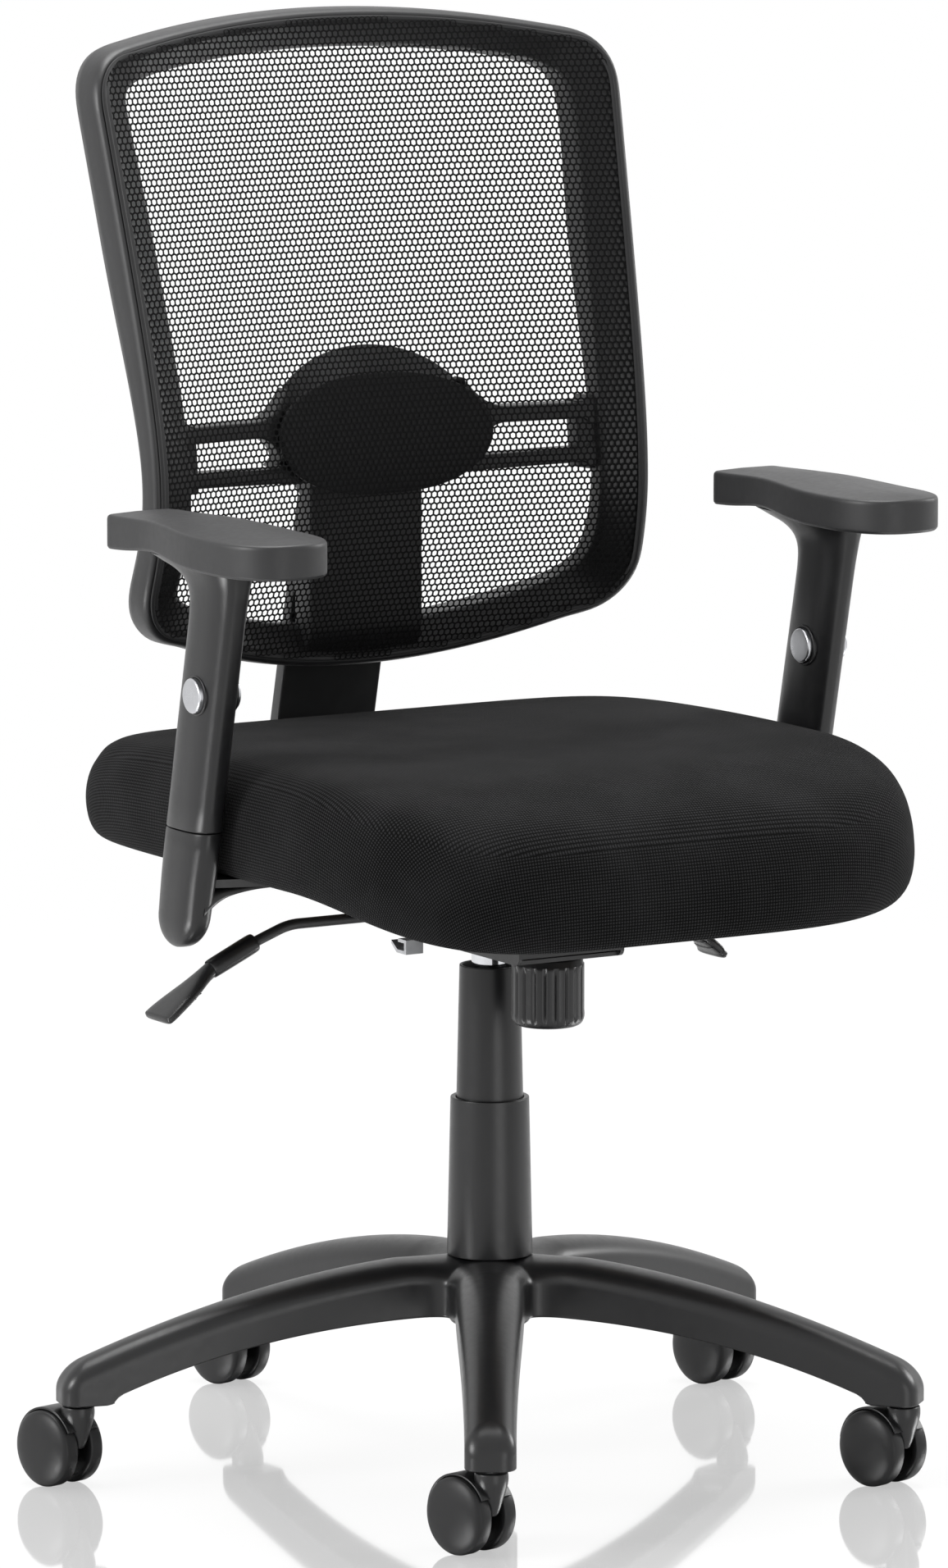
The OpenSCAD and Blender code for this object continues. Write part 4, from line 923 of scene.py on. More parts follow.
@dataclass
class Casters:
    """Twin-wheel casters: forked body with a hood, and two domed wheels each."""

    base: StarBase
    heading: float = 103.0
    trail: float = 20.0
    wheel_r: float = 29.0
    width: float = 46.0
    gap: float = 13.0
    dome_rise: float = 6.8
    hood_gap: float = 2.4
    hood_wall: float = 2.0
    # Start and end of the hood about the axle, in degrees up from the rear.
    hood_span: tuple[float, float] = (8.0, 150.0)
    web_clear: float = 0.6
    dome_power: float = 0.8

    def place(self, points: Array, k: int) -> Array:
        """Moves points from a caster's own place, stem on Z and trail along +X, to stem k.

        Args:
            points: Points with x, y and z in the last axis.
            k: Number of the caster, from 1.

        Returns:
            The moved points.
        """
        a = math.radians(self.base.arm_angles()[k - 1])
        r = self.base.stem_circle
        return turned(points, self.heading, (r * math.cos(a), r * math.sin(a)))

    def about_axle(self, profile: Array, count: int) -> Array:
        """Revolves a profile about the axle, which runs along Y.

        Args:
            profile: Radius and sideways distance of each point.
            count: Steps round the axle.

        Returns:
            Grid of points in the caster's own place.
        """
        p = revolve(profile, count)
        return stack(p[..., 0] + self.trail, p[..., 2], p[..., 1] + self.wheel_r)

    def wheel(self, side: float) -> Array:
        """Grid of one wheel: hollow inner face, rounded tread and a domed outer face.

        Args:
            side: 1 for the wheel on the caster's left, -1 for the other.

        Returns:
            Grid of points in the caster's own place.
        """
        r, inner, outer = self.wheel_r, self.gap / 2 + 0.1, self.width / 2
        a = np.radians(np.linspace(0, 88, 22))
        rise = self.dome_rise
        dome = stack((r - 0.2) * np.cos(a) ** self.dome_power, outer - rise + rise * np.sin(a))
        hub = [(0.0, inner), (3.0, inner), (10, inner)]
        hollow = [(10, inner + 3), (r - 6, inner + 3), (r - 5, inner), (r - 1.2, inner)]
        tread = [(r - 0.4, inner + 0.5), (r, inner + 1.6), (r, outer - 7.6)]
        profile = np.vstack([hub, hollow, tread, dome, [(0.0, outer)]])
        return self.about_axle(profile * [1, side], 96)

    def body(self, made: Surface, k: int) -> None:
        """Neck that thins to a wedge, the web between the wheels and the hood over them.

        Args:
            made: Where the shapes are added.
            k: Number of the caster, from 1.
        """
        # Height, half length, half width and shift of each section of the neck.
        knots = np.array(
            [
                [63.0, 10.8, 10.8, 0.0],
                [62.2, 12.2, 12.2, 0.0],
                [57.0, 12.5, 12.5, 0.0],
                [51.0, 11.0, 11.2, -0.4],
                [44.0, 8.2, 8.8, -1.0],
                [36.0, 5.2, 5.9, -1.8],
                [31.5, 3.2, 3.7, -2.0],
                [30.2, 1.5, 1.8, -2.0],
            ]
        )
        rings = eased_curve(knots, 5)
        t = circle_steps(48)
        z, a, b, shift = (rings[:, i : i + 1] for i in range(4))
        made.grid(self.place(stack(a * np.cos(t) + shift - 1, b * np.sin(t), z), k))
        web = self.gap / 2 - self.web_clear
        disc = rounded([(0, -web), (16, -web), (16, web), (0, web)], 0.8, closed=False)
        made.grid(self.place(self.about_axle(disc, 64), k), caps=False)
        half, outer = self.width / 2 - 8, self.wheel_r + self.hood_gap
        inner = outer - self.hood_wall
        hood = rounded([(inner, -half), (outer, -half), (outer, half), (inner, half)], 0.9, 4)
        spine = rounded([(14, -web), (outer - 0.5, -web), (outer - 0.5, web), (14, web)], 0.5, 3)
        for part in (hood, spine):
            a = np.radians(np.linspace(*self.hood_span, 48))[:, None]
            x, z = part[:, 0] * np.cos(a) + self.trail, part[:, 0] * np.sin(a) + self.wheel_r
            made.grid(self.place(stack(x, part[:, 1], z), k))

    def build(self) -> None:
        """Five bodies and ten wheels."""
        for k in range(1, self.base.arms + 1):
            made = Surface()
            self.body(made, k)
            fit(made.object(f"caster_{k}_fork", NYLON), f"caster_{k}", "nylon", f"caster_body_{k}")
            for word, side in (("left", 1.0), ("right", -1.0)):
                wheel = Surface().grid(self.place(self.wheel(side), k), caps=False)
                made_wheel = wheel.object(f"caster_{k}_wheel_{word}", WHEEL_NYLON, 50)
                fit(made_wheel, f"wheel_{word}_{k}", "wheel_nylon", f"caster_wheel_{word}_{k}")


@dataclass
class Column:
    """Two-stage plastic cover round the gas column."""

    foot_z: float = 159.1
    line_z: float = 280.0
    top_z: float = 381.0
    lower_r: float = 32.5
    upper_r: float = 25.6
    wall: float = 1.8
    bore_r: float = 14.1
    overlap: float = 18.0
    bead: float = 1.6

    def build(self) -> None:
        """Lower cover with a lip at its mouth, and the upper one that slides in it."""
        foot, top = self.lower_r, self.lower_r - 2.7
        lower = rounded(
            [
                (foot - self.wall, self.foot_z),
                (foot, self.foot_z),
                (top, self.line_z),
                (self.upper_r + 0.2, self.line_z),
                (self.upper_r + 0.2, self.line_z - 2.5),
                (top - self.wall, self.line_z - 2.5),
            ],
            1.0,
        )
        made = Surface().grid(revolve(lower, 128), wrap_rows=True)
        fit(made.object("column_cover_lower", NYLON), "base", "nylon", "lower_cover")
        foot, top = self.upper_r, self.upper_r - 2.6
        upper = rounded(
            [
                (foot - self.wall, self.line_z - self.overlap),
                (foot + self.bead, self.line_z - self.overlap),
                (foot + self.bead, self.line_z - self.overlap + 2.5),
                (foot, self.line_z - self.overlap + 4),
                (top, self.top_z),
                (top - 2.0, self.top_z),
                (top - 2.6, self.top_z - 7),
                (self.bore_r, self.top_z - 7),
                (self.bore_r, self.top_z - 10),
                (top - self.wall - 3, self.top_z - 10),
                (top - self.wall, self.top_z - 13),
            ],
            0.9,
        )
        made = Surface().grid(revolve(upper, 128), wrap_rows=True)
        fit(made.object("column_cover_upper", NYLON), "carriage", "nylon", "upper_cover")


# ------------------------------------------------------------------ levers and knob


@dataclass
class Lever:
    """A bent steel rod with a moulded paddle on its end.

    The bends are the corners of the rod's middle line in X and Z, and y is its place in depth.
    """

    name: str
    bends: tuple[tuple[float, float], ...]
    y: float
    reach: float
    ribs: int
    radius: float = 4.0
    rib_pitch: float = 6.0
    rib_radius: float = 1.1

    def axes(self) -> tuple[Array, Array, Array]:
        """Where the paddle sits.

        Returns:
            Start of the rod's last stretch, the direction along it, and the one square to it.
        """
        start, end = np.array(self.bends[-2]), np.array(self.bends[-1])
        along = (end - start) / np.linalg.norm(end - start)
        return start, along, np.array([-along[1], along[0]]) * np.sign(along[0])

    def line(self) -> Array:
        """The rod's middle line in X and Z, with its bends rounded, in even steps."""
        return even_spacing(rounded(list(self.bends), 9.0, 9, closed=False), 90)

    def rod(self) -> Array:
        """Carries a round section along the line, square to it.

        Returns:
            Grid of points.
        """
        line = self.line()
        along = np.gradient(line, axis=0)
        along /= np.linalg.norm(along, axis=1, keepdims=True)
        up = stack(-along[:, 1], along[:, 0])[:, None]
        t = circle_steps(20)
        xz = line[:, None] + self.radius * np.sin(t)[None, :, None] * up
        return stack(xz[..., 0], self.y + self.radius * np.cos(t), xz[..., 1])

    def paddle(self) -> tuple[Array, Array]:
        """Grip that runs from a round sleeve out into a flat, drooping paddle.

        Stations give distance, half width, half thickness and droop, joined by an eased curve.
        Each section is a superellipse that gets squarer towards the end.

        Returns:
            The grid, and the stations after easing.
        """
        start, along, up = self.axes()
        grip, n = min(40.0, self.reach * 0.45), self.reach
        knots = np.array(
            [
                [0, 5.2, 5.2, 0],
                [0.8, 7.2, 7.2, 0],
                [grip * 0.5, 7.4, 7.4, 0],
                [grip - 1, 7.4, 7.2, 0],
                [grip, 6.6, 6.2, -0.2],
                [mix(grip, n, 0.12), 8.2, 5.6, -1.4],
                [mix(grip, n, 0.4), 13.5, 4.6, -5],
                [mix(grip, n, 0.75), 17.5, 4.0, -8.4],
                [n - 4, 18.6, 3.6, -10.2],
                [n - 1, 18.0, 3.0, -10.5],
                [n, 15.0, 1.3, -10.6],
            ]
        )
        st = eased_curve(knots, 6)
        t = circle_steps(40)
        power = 2 / mix(2.0, 4.0, smooth((st[:, :1] - grip) / (n - grip)))
        across = st[:, 1:2] * signed_power(np.cos(t), power)
        lift = st[:, 3:4] + st[:, 2:3] * signed_power(np.sin(t), power)
        xz = start + st[:, None, :1] * along + lift[..., None] * up
        return stack(xz[..., 0], self.y + across, xz[..., 1]), st

    def build(self, body: str, rod_node: str, paddle_node: str) -> None:
        """The rod, then the paddle with grip ribs under its end.

        Args:
            body: The body of the lever.
            rod_node: Frame node of the rod.
            paddle_node: Frame node of the paddle.
        """
        rod = Surface().grid(self.rod())
        fit(rod.object(f"{self.name}_rod", STEEL_COAT), body, "black_steel", rod_node)
        grid, st = self.paddle()
        made = Surface().grid(grid)
        start, along, up = self.axes()
        t = circle_steps(10)
        taper = np.sqrt(np.maximum(0, 1 - np.linspace(-1, 1, 9)[:, None] ** 4)) * 0.9 + 0.1
        for k in range(self.ribs):
            at = self.reach - 12 - k * self.rib_pitch
            wide, thick, droop = (float(np.interp(at, st[:, 0], st[:, i])) for i in (1, 2, 3))
            y = np.linspace(-0.82, 0.82, 9)[:, None] * wide
            xz = start + (at + self.rib_radius * np.cos(t))[:, None] * along
            low = (droop - thick * 0.8) + 1.5 * taper * np.sin(t)
            made.grid(stack(xz[:, 0] + low * up[0], self.y + y, xz[:, 1] + low * up[1]))
        fit(made.object(f"{self.name}_paddle", NYLON), body, "nylon", paddle_node)


@dataclass
class Levers:
    """The two levers under the seat: the longer one works the gas spring, the other the lock."""

    gas_bends: tuple[tuple[float, float], ...] = (
        (4.0, 437.0),
        (-64.0, 437.0),
        (-84.0, 426.0),
        (-175.0, 426.0),
        (-205.0, 415.0),
        (-246.0, 396.0),
    )
    lock_bends: tuple[tuple[float, float], ...] = (
        (14.0, 430.0),
        (64.0, 430.0),
        (84.0, 424.0),
        (120.0, 420.0),
        (144.0, 409.0),
        (158.0, 402.0),
    )

    def build(self) -> None:
        """Each lever with its own rod, reach of the paddle, and number of grip ribs."""
        gas = Lever("gas_lever", self.gas_bends, y=0.0, reach=96.0, ribs=5)
        lock = Lever("lock_lever", self.lock_bends, y=-30.0, reach=48.0, ribs=3)
        gas.build("gas_lever", "gas_lever", "gas_paddle")
        lock.build("lock_lever", "lock_lever", "lock_paddle")


@dataclass
class TensionKnob:
    """Fluted hand knob on the tension screw."""

    y: float = -84.0
    low_z: float = 347.0
    top_z: float = 402.0
    radius: float = 27.5
    flutes: int = 20
    flute_depth: float = 1.5
    band_r: float = 26.3
    screw_r: float = 5.0
    screw_rise: float = 34.0
    steps: int = 240

    def build(self) -> None:
        """Revolved body whose radius dips at each flute between the foot and the top band."""
        low, top, r = self.low_z, self.top_z, self.radius
        outline = rounded([(0, low), (r, low), (r - 0.4, top - 8)], 9, 9, closed=False)
        wall = stack(np.full(12, r - 0.3), np.linspace(low + 12, top - 8, 12))
        b = self.band_r
        band = [(b, top - 7.2), (b, top - 4), (b - 1, top - 3), (self.screw_r, top - 3)]
        screw = [(self.screw_r, top + self.screw_rise), (0, top + self.screw_rise)]
        profile = np.vstack([outline[:-1], wall, band, screw])
        points = revolve(profile, self.steps)
        turn = circle_steps(self.steps)
        z, r = points[..., 2], profile[:, 0][:, None]
        groove = (0.5 + 0.5 * np.cos(self.flutes * turn)) ** 6
        fade = smooth((z - low - 2) / 8) * (1 - smooth((z - top + 10) / 2)) * (r > 20)
        scale = 1 - self.flute_depth * groove * fade / np.maximum(r, 1)
        shaped = stack(points[..., 0] * scale, points[..., 1] * scale + self.y, z)
        made = Surface().grid(shaped, caps=False).object("tension_hand_knob", NYLON, 50)
        fit(made, "knob", "nylon", "tension_knob")


# ------------------------------------------------------------------ seat


@dataclass
class Seat:
    """Foam seat in a pulled-over woven cover, with a drooping front edge and a plywood board."""

    half_w: float = 250.0
    half_d: float = 264.0
    centre_y: float = -24.0
    board_z: float = 470.0
    top_z: float = 558.0
    front_power: float = 4.6
    rear_power: float = 7.0
    columns: int = 264
    droop: float = 37.0
    droop_from: float = 110.0
    droop_over: float = 175.0
    rear_fall: float = 0.00014

    def outline(self) -> Array:
        """Widest outline about the middle: a superellipse, squarer at the rear.

        Returns:
            Points at equal distances, counter-clockwise.
        """
        t = circle_steps(6000)
        c, s = np.cos(t), np.sin(t)
        power = 2 / np.where(s > 0, self.rear_power, self.front_power)
        path = stack(self.half_w * signed_power(c, power), self.half_d * signed_power(s, power))
        return even_spacing(path, self.columns, closed=True)

    def rings(self) -> Array:
        """Section of the cushion, from inside its lower edge up to the middle of the top.

        Returns:
            Share of the outline, height, share of the droop and share of the fall, one ring a row.
        """
        b, top = self.board_z, self.top_z
        side = np.array(
            [
                [0.885, b + 0.6, 0.0, 0.0],
                [0.935, b + 0.1, 0.75, 0.0],
                [0.966, b + 2.4, 0.97, 0.0],
                [0.984, b + 8.0, 1.0, 0.0],
                [0.996, b + 18, 1.0, 0.0],
                [1.0, b + 33, 1.0, 0.1],
                [0.993, top - 36, 1.0, 0.6],
                [0.975, top - 20, 1.0, 1.0],
                [0.94, top - 8, 1.0, 1.0],
                [0.87, top - 1.5, 0.96, 1.0],
                [0.7, top, 0.9, 1.0],
                [0.5, top - 2, 0.7, 1.0],
                [0.3, top - 4, 0.45, 1.0],
                [0.12, top - 4.6, 0.3, 1.0],
            ]
        )
        return np.vstack([[0.885, b + 12.2, 0.0, 0.0], eased_curve(side, 7)])

    def cushion(self) -> tuple[Array, Array]:
        """Grid of the cushion, and its cloth map in millimetres.

        A point is the middle plus its ring's share of the outline. The front drops with the
        square of u, which runs from 0 to 1 over its front part, and the top falls to the rear
        with the square of the distance. On the map the top is plan view, and the cloth runs on
        from its edge straight outwards down the sides, as cloth that is pulled over does.

        Returns:
            Points and map, rows by columns.
        """
        edge = self.outline()
        along = np.roll(edge, -3, axis=0) - np.roll(edge, 3, axis=0)
        out = stack(along[:, 1], -along[:, 0]) / np.linalg.norm(along, axis=1, keepdims=True)
        rings = self.rings()
        top_row = int(np.argmax((rings[:, 1] > self.top_z - 16) & (rings[:, 0] < 0.965)))
        share, height, droop, fall = (rings[:, k : k + 1] for k in range(4))
        x, y = share * edge[:, 0], share * edge[:, 1] + self.centre_y
        drop = -self.droop * np.clip((-y - self.droop_from) / self.droop_over, 0, 1.1) ** 2
        lean = -self.rear_fall * np.maximum(0, y + 60) ** 2
        points = stack(x, y, height + droop * drop + fall * lean)
        step = np.linalg.norm(np.diff(points, axis=0), axis=2)
        length = np.vstack([np.zeros(len(edge)), np.cumsum(step, axis=0)])
        down = np.maximum(0, length[top_row] - length)
        plan = stack(x, y)
        below = (np.arange(len(rings)) < top_row)[:, None, None]
        return points, np.where(below, plan[top_row] + out * down[..., None], plan)

    def build(self) -> None:
        """The cushion stands for the plain one; the board keeps its frame node."""
        points, uv = self.cushion()
        made = Surface().grid(points, uv=uv).object("seat_cushion_cover", SEAT_CLOTH, 60)
        fit(made, "seat", "seat_fabric", "seat_cushion")


# ------------------------------------------------------------------ arms


@dataclass
class Arm:
    """Height-adjustable arm: bracket under the seat, sliding sleeve, pad and push button.

    It is drawn on the plane x = 0 with the seat towards +X, and then placed on its side.
    """

    side: float
    word: str
    off: float = 265.0
    depth: float = 60.0
    thick: float = 27.0
    mid_y: float = -41.0
    mid_z: float = 611.0
    lean_deg: float = 12.7
    power: float = 2.7
    seam_z: float = 508.0
    sleeve_top: float = 708.8
    pad_low: float = 709.0
    pad_top: float = 735.0
    pad_rear: float = 60.0
    pad_len: float = 234.0
    button_y: float = -45.0
    button_r: float = 13.0
    slot: tuple[float, float] = (33.0, 11.0)
    nose_low: float = 417.0
    nose_rise: float = 26.0
    foot_reach: float = 61.5
    foot_top: float = 463.8
    foot_z: float = 462.0

    def place(self, points: Array) -> Array:
        """Puts drawn points on the arm's side: -1 is the left arm and +1 the right one."""
        x = -self.side * points[..., 0] + self.side * self.off
        return stack(x, points[..., 1], points[..., 2])

    def upright_y(self, z: float | Array) -> float | Array:
        """Middle of the leaning upright at height z."""
        return self.mid_y - (z - self.mid_z) * math.tan(math.radians(self.lean_deg))

    def ring(self, stations: Array, power: float | None = None, count: int = 72) -> Array:
        """Level superellipse sections up the upright.

        Args:
            stations: Height, depth, thickness and shift in Y of each, one a row.
            power: Squareness, or None for the upright's own.
            count: Points on a section.

        Returns:
            Grid of points.
        """
        z, depth, thick, shift = (stations[:, k : k + 1] for k in range(4))
        xy = super_ring(thick / 2, depth / 2, power or self.power, count)
        return stack(xy[..., 0], xy[..., 1] + self.upright_y(z) + shift, z)

    def bore(self, low: float, top: float) -> Array:
        """Two nearly square sections of the slot for the steel post, from top down."""
        return self.ring(np.array([[top, *self.slot, 0.0], [low, *self.slot, 0.0]]), 12.0)

    def bracket(self) -> Surface:
        """Rounded nose, upright with a slot for the post, and the foot that goes under the seat.

        The nose's depth is a sine and its height a cosine of one angle. The foot is swept along
        +X: its section is squared off, its top is level, and its underside rises on a curve.

        Returns:
            The shapes of the bracket.
        """
        a = np.radians(np.linspace(5, 90, 15))
        s, d, t = np.sin(a), self.depth, self.thick
        height = self.nose_low + self.nose_rise * (1 - np.cos(a))
        nose = stack(height, d * 0.94 * s, t * 0.94 * mix(s, 1, 0.25), 0.0)
        top = self.seam_z - 0.5
        knots = [[443.0, d * 0.94, t * 0.94, 0], [470, d * 0.97, t, 0], [top - 14, d, t, 0]]
        lip = [[top - 1.2, d, t, 0], [top - 0.4, d - 0.8, t - 0.8, 0], [top, d - 2.4, t - 2.4, 0]]
        outside = self.ring(np.vstack([nose, eased_curve(np.array(knots), 6)[1:], lip]))
        made = Surface().grid(self.place(np.concatenate([outside, self.bore(465, top)])))
        x = np.linspace(0, 1, 26) ** 1.2 * self.foot_reach
        near = [[-6.0, 437], [0, 441], [6, 446], [14, 451.5]]
        far = [[26, 456.2], [44, 459.2], [62, 460], [70, 460]]
        low = eased_curve(np.array(near + far), 8)
        low_z = np.interp(x, low[:, 0], low[:, 1])[:, None]
        turn = circle_steps(44) + np.pi / 44
        y = self.foot_half(x)[:, None] * signed_power(np.cos(turn), 0.42)
        middle, half = (self.foot_top + low_z) / 2, (self.foot_top - low_z) / 2
        z = middle + half * signed_power(np.sin(turn), 0.5)
        made.grid(self.place(stack(x[:, None], y + self.upright_y(self.foot_z), z)))
        return made

    @staticmethod
    def foot_half(x: Array) -> Array:
        """Half width of the foot at x: narrow at its end, flared where it leaves the upright."""
        return 22 + 4 * (1 - smooth(x / 26))

    def sleeve(self) -> Surface:
        """Sliding sleeve, flared out at the top to carry the pad, with the slot inside it.

        Returns:
            The sleeve, to which the boss and hole of the button are still to come.
        """
        d, t, low, top = self.depth, self.thick, self.seam_z, self.sleeve_top
        foot = [[low, d - 2.4, t - 2.4, 0], [low + 0.4, d - 0.8, t - 0.8, 0], [low + 1.3, d, t, 0]]
        flare = np.array(
            [
                [low + 20, d, t, 0],
                [low + 90, d, t, 0],
                [top - 58, d, t, 0],
                [top - 36, d * 1.01, t * 1.01, 0.2],
                [top - 23, d * 1.06, t * 1.06, 1.4],
                [top - 14, d * 1.18, t * 1.16, 5],
                [top - 7, d * 1.42, t * 1.34, 12],
                [top - 2, d * 1.78, t * 1.55, 22],
                [top + 2.2, d * 2.1, t * 1.75, 30],
            ]
        )
        outside = self.ring(np.vstack([foot, eased_curve(flare, 6)]))
        return Surface().grid(self.place(np.concatenate([self.bore(low, 706.0), outside])))

    def across(self, profile: Array, count: int = 72) -> Array:
        """Revolves a profile about the button's axis, which runs along X.

        Args:
            profile: Radius and distance from the arm's middle of each point.
            count: Steps round the axis.

        Returns:
            Grid of points on the arm's side.
        """
        p = revolve(profile, count)
        return self.place(stack(p[..., 2], p[..., 0] + self.button_y, p[..., 1] + self.mid_z))

    def pad_outline(self) -> Array:
        """Right half of the pad's plan, then the left: half width against distance from the rear.

        The rear end is nearly straight with small corners, the flanks widen forwards with an
        eased step, and the front is half of a superellipse.

        Returns:
            Sideways place and distance from the rear of each point.
        """
        nose, w0, w1, corner = 62.0, 31.0, 42.0, 5.0
        flank = np.linspace(corner, self.pad_len - nose, 40)
        wide = mix(w0, w1, smooth((flank - 45) / 105))
        a = np.radians(np.linspace(0, 90, 9))[:-1]
        rear = stack(w0 - corner + corner * np.sin(a), corner - corner * np.cos(a))
        b = np.linspace(0, np.pi / 2, 24)[1:]
        power = 2 / 2.5
        front = stack(w1 * np.cos(b) ** power, self.pad_len - nose + nose * np.sin(b) ** power)
        end = stack(np.linspace(0, w0 - corner, 6)[:-1], 0.0)
        half = even_spacing(np.vstack([end, rear, stack(wide, flank), front]), 110)
        return np.vstack([half, half[-2:0:-1] * [-1, 1]])

    def pad_lift(self, d: Array, low: Array) -> Array:
        """Rise at distance d from the rear: a low hump, and a hollow underside where low is 1."""
        hump, hollow = np.exp(-(((d - 82) / 50) ** 2)), np.exp(-(((d - 68) / 38) ** 2))
        return 2.4 * hump + low * 2.8 * hollow

    def pad(self) -> Surface:
        """Soft pad: the outline drawn in by the inset of each level, to a ridge on its middle line.

        Returns:
            The pad.
        """
        outline = self.pad_outline()
        low, top, ridge = self.pad_low, self.pad_top, 31.0
        knots = np.array(
            [
                [2.4, low],
                [1.2, low + 0.3],
                [0.4, low + 1.6],
                [0.0, low + 4.0],
                [0.0, top - 6],
                [0.1, top - 2.8],
                [0.6, top - 1.2],
                [1.7, top - 0.3],
                [4.0, top + 0.2],
                [9.5, top + 1.2],
                [18, top + 2.6],
                [ridge, top + 3.4],
            ]
        )
        level = np.vstack([[[ridge, low], [14.0, low]], eased_curve(knots, 4)])
        inset, z = level[:, :1], level[:, 1:]
        half = self.pad_len / 2
        kx, ky = np.clip(1 - inset / ridge, 0, 1), 1 - inset / half
        d = half + ky * (outline[:, 1] - half)
        below = 1 - smooth((z - low - 4) / (top - low - 8))
        points = stack(kx * outline[:, 0], self.pad_rear - d, z + self.pad_lift(d, below))
        return Surface().grid(self.place(points), caps=False)

    def button(self) -> Surface:
        """Push-through button: two chromed caps on one pin, as one revolved profile.

        Returns:
            The button.
        """
        reach, r = self.thick / 2 + 4.4, self.button_r
        face = [(r - 0.9, reach), (r / 2, reach + 0.02), (0, reach + 0.03)]
        cap = rounded([(4, 10), (r, 10), (r, reach - 0.8), *face], 0.4, closed=False)
        return Surface().grid(self.across(np.vstack([cap[::-1], cap * [1, -1]])), caps=False)

    def build(self) -> None:
        """All five pieces of the arm that are seen; the steel post keeps its frame node."""
        w, body = self.word, f"{self.word}_arm"
        foot = self.bracket().object(f"{w}_arm_foot", NYLON, 50)
        fit(foot, "seat", "nylon", f"{w}_arm_bracket")
        sleeve = self.sleeve().object(f"{w}_arm_upright", NYLON, 50)
        face, r, past = self.thick / 2 + 1.2, self.button_r, 40.0
        ring = [(0, -face + 0.7), (r + 2, -face + 0.7), (r + 2.6, face), (0, face)]
        boss = Surface().grid(self.across(rounded(ring, 0.8, 4, closed=False), 96), caps=False)
        mouth = [(r + 1.1, face), (r + 0.35, face - 0.8)]
        bore = [*[(x, -y) for x, y in mouth], *mouth[::-1]]
        bore = np.array([(0, -past), (r + 1.1, -past), *bore, (r + 1.1, past), (0, past)])
        hole = Surface().grid(self.across(bore, 96), caps=False)
        combine(sleeve, boss.object("boss", NYLON), "UNION")
        combine(sleeve, hole.object("hole", NYLON), "DIFFERENCE")
        fit(sleeve, body, "nylon", f"{w}_arm_sleeve")
        fit(self.pad().object(f"{w}_arm_rest", PAD_SKIN, 60), body, "arm_pad", f"{w}_arm_pad")
        button = self.button().object(f"{w}_arm_push_button", SATIN_CHROME, 50)
        fit(button, f"{w}_button", "chrome", f"{w}_arm_button")


# ------------------------------------------------------------------ back


@dataclass
class BackShape:
    """The curved sheet that the net lies on, and the outline of the back."""

    half_w: float = 214.0
    waist_z: float = 738.0
    top_z: float = 1082.0
    low_z: float = 590.0
    front_y: float = 122.0
    wrap: float = 28.0
    top_corner: float = 34.0
    low_corner: float = 42.0
    top_bow: float = 0.00052
    low_bow: float = 0.0010

    def rim_w(self, z: float | Array) -> float | Array:
        """Half width at height z: a hyperbola, narrowest at the waist."""
        return self.half_w + 0.056 * (np.sqrt((z - self.waist_z) ** 2 + 3600.0) - 60)

    def net_y(self, x: float | Array, z: float | Array) -> float | Array:
        """Front of the net: a hyperbola up the back, steeper below the waist, hollow across.

        Args:
            x: Sideways place.
            z: Height.

        Returns:
            Place in Y.
        """
        h = z - self.waist_z + 10
        slope = np.where(h > 0, 0.28, 0.52)
        hollow = self.wrap * (1 - (x / self.rim_w(z)) ** 2)
        return self.front_y + slope * (np.sqrt(h * h + 6400.0) - 80) + hollow

    def rim(self, count: int) -> Array:
        """Outline of the back in X and Z, evenly spaced, clockwise from the top middle.

        The top and bottom are parabolas, the sides follow rim_w, and quarter circles join them.

        Args:
            count: Points wanted.

        Returns:
            The outline, one point a row.
        """
        rt, rb = self.top_corner, self.low_corner
        xt, xb = float(self.rim_w(self.top_z - 60)) - rt, float(self.rim_w(self.low_z + 70)) - rb
        zt, zb = self.top_z - self.top_bow * xt**2 - rt, self.low_z + self.low_bow * xb**2 + rb
        x = np.linspace(0, xt, 60, endpoint=False)
        a, b = np.radians(np.linspace(88, 0, 26)), np.radians(np.linspace(0, -86, 26))
        z = np.linspace(zt, zb, 120)[1:-1]
        xl = np.linspace(xb, 0, 60)
        half = np.vstack(
            [
                stack(x, self.top_z - self.top_bow * x**2),
                stack(xt + rt * np.cos(a), zt + rt * np.sin(a)),
                stack(self.rim_w(z), z),
                stack(xb + rb * np.cos(b), zb + rb * np.sin(b)),
                stack(xl, self.low_z + self.low_bow * xl**2),
            ]
        )
        full = np.vstack([half, half[-2:0:-1] * [-1, 1]])
        return relaxed(even_spacing(full, count, closed=True), 6)

    def rim_out(self, path: Array) -> Array:
        """Outward direction at each point of the outline."""
        d = np.roll(path, -1, 0) - np.roll(path, 1, 0)
        return stack(-d[:, 1], d[:, 0]) / np.linalg.norm(d, axis=1, keepdims=True)


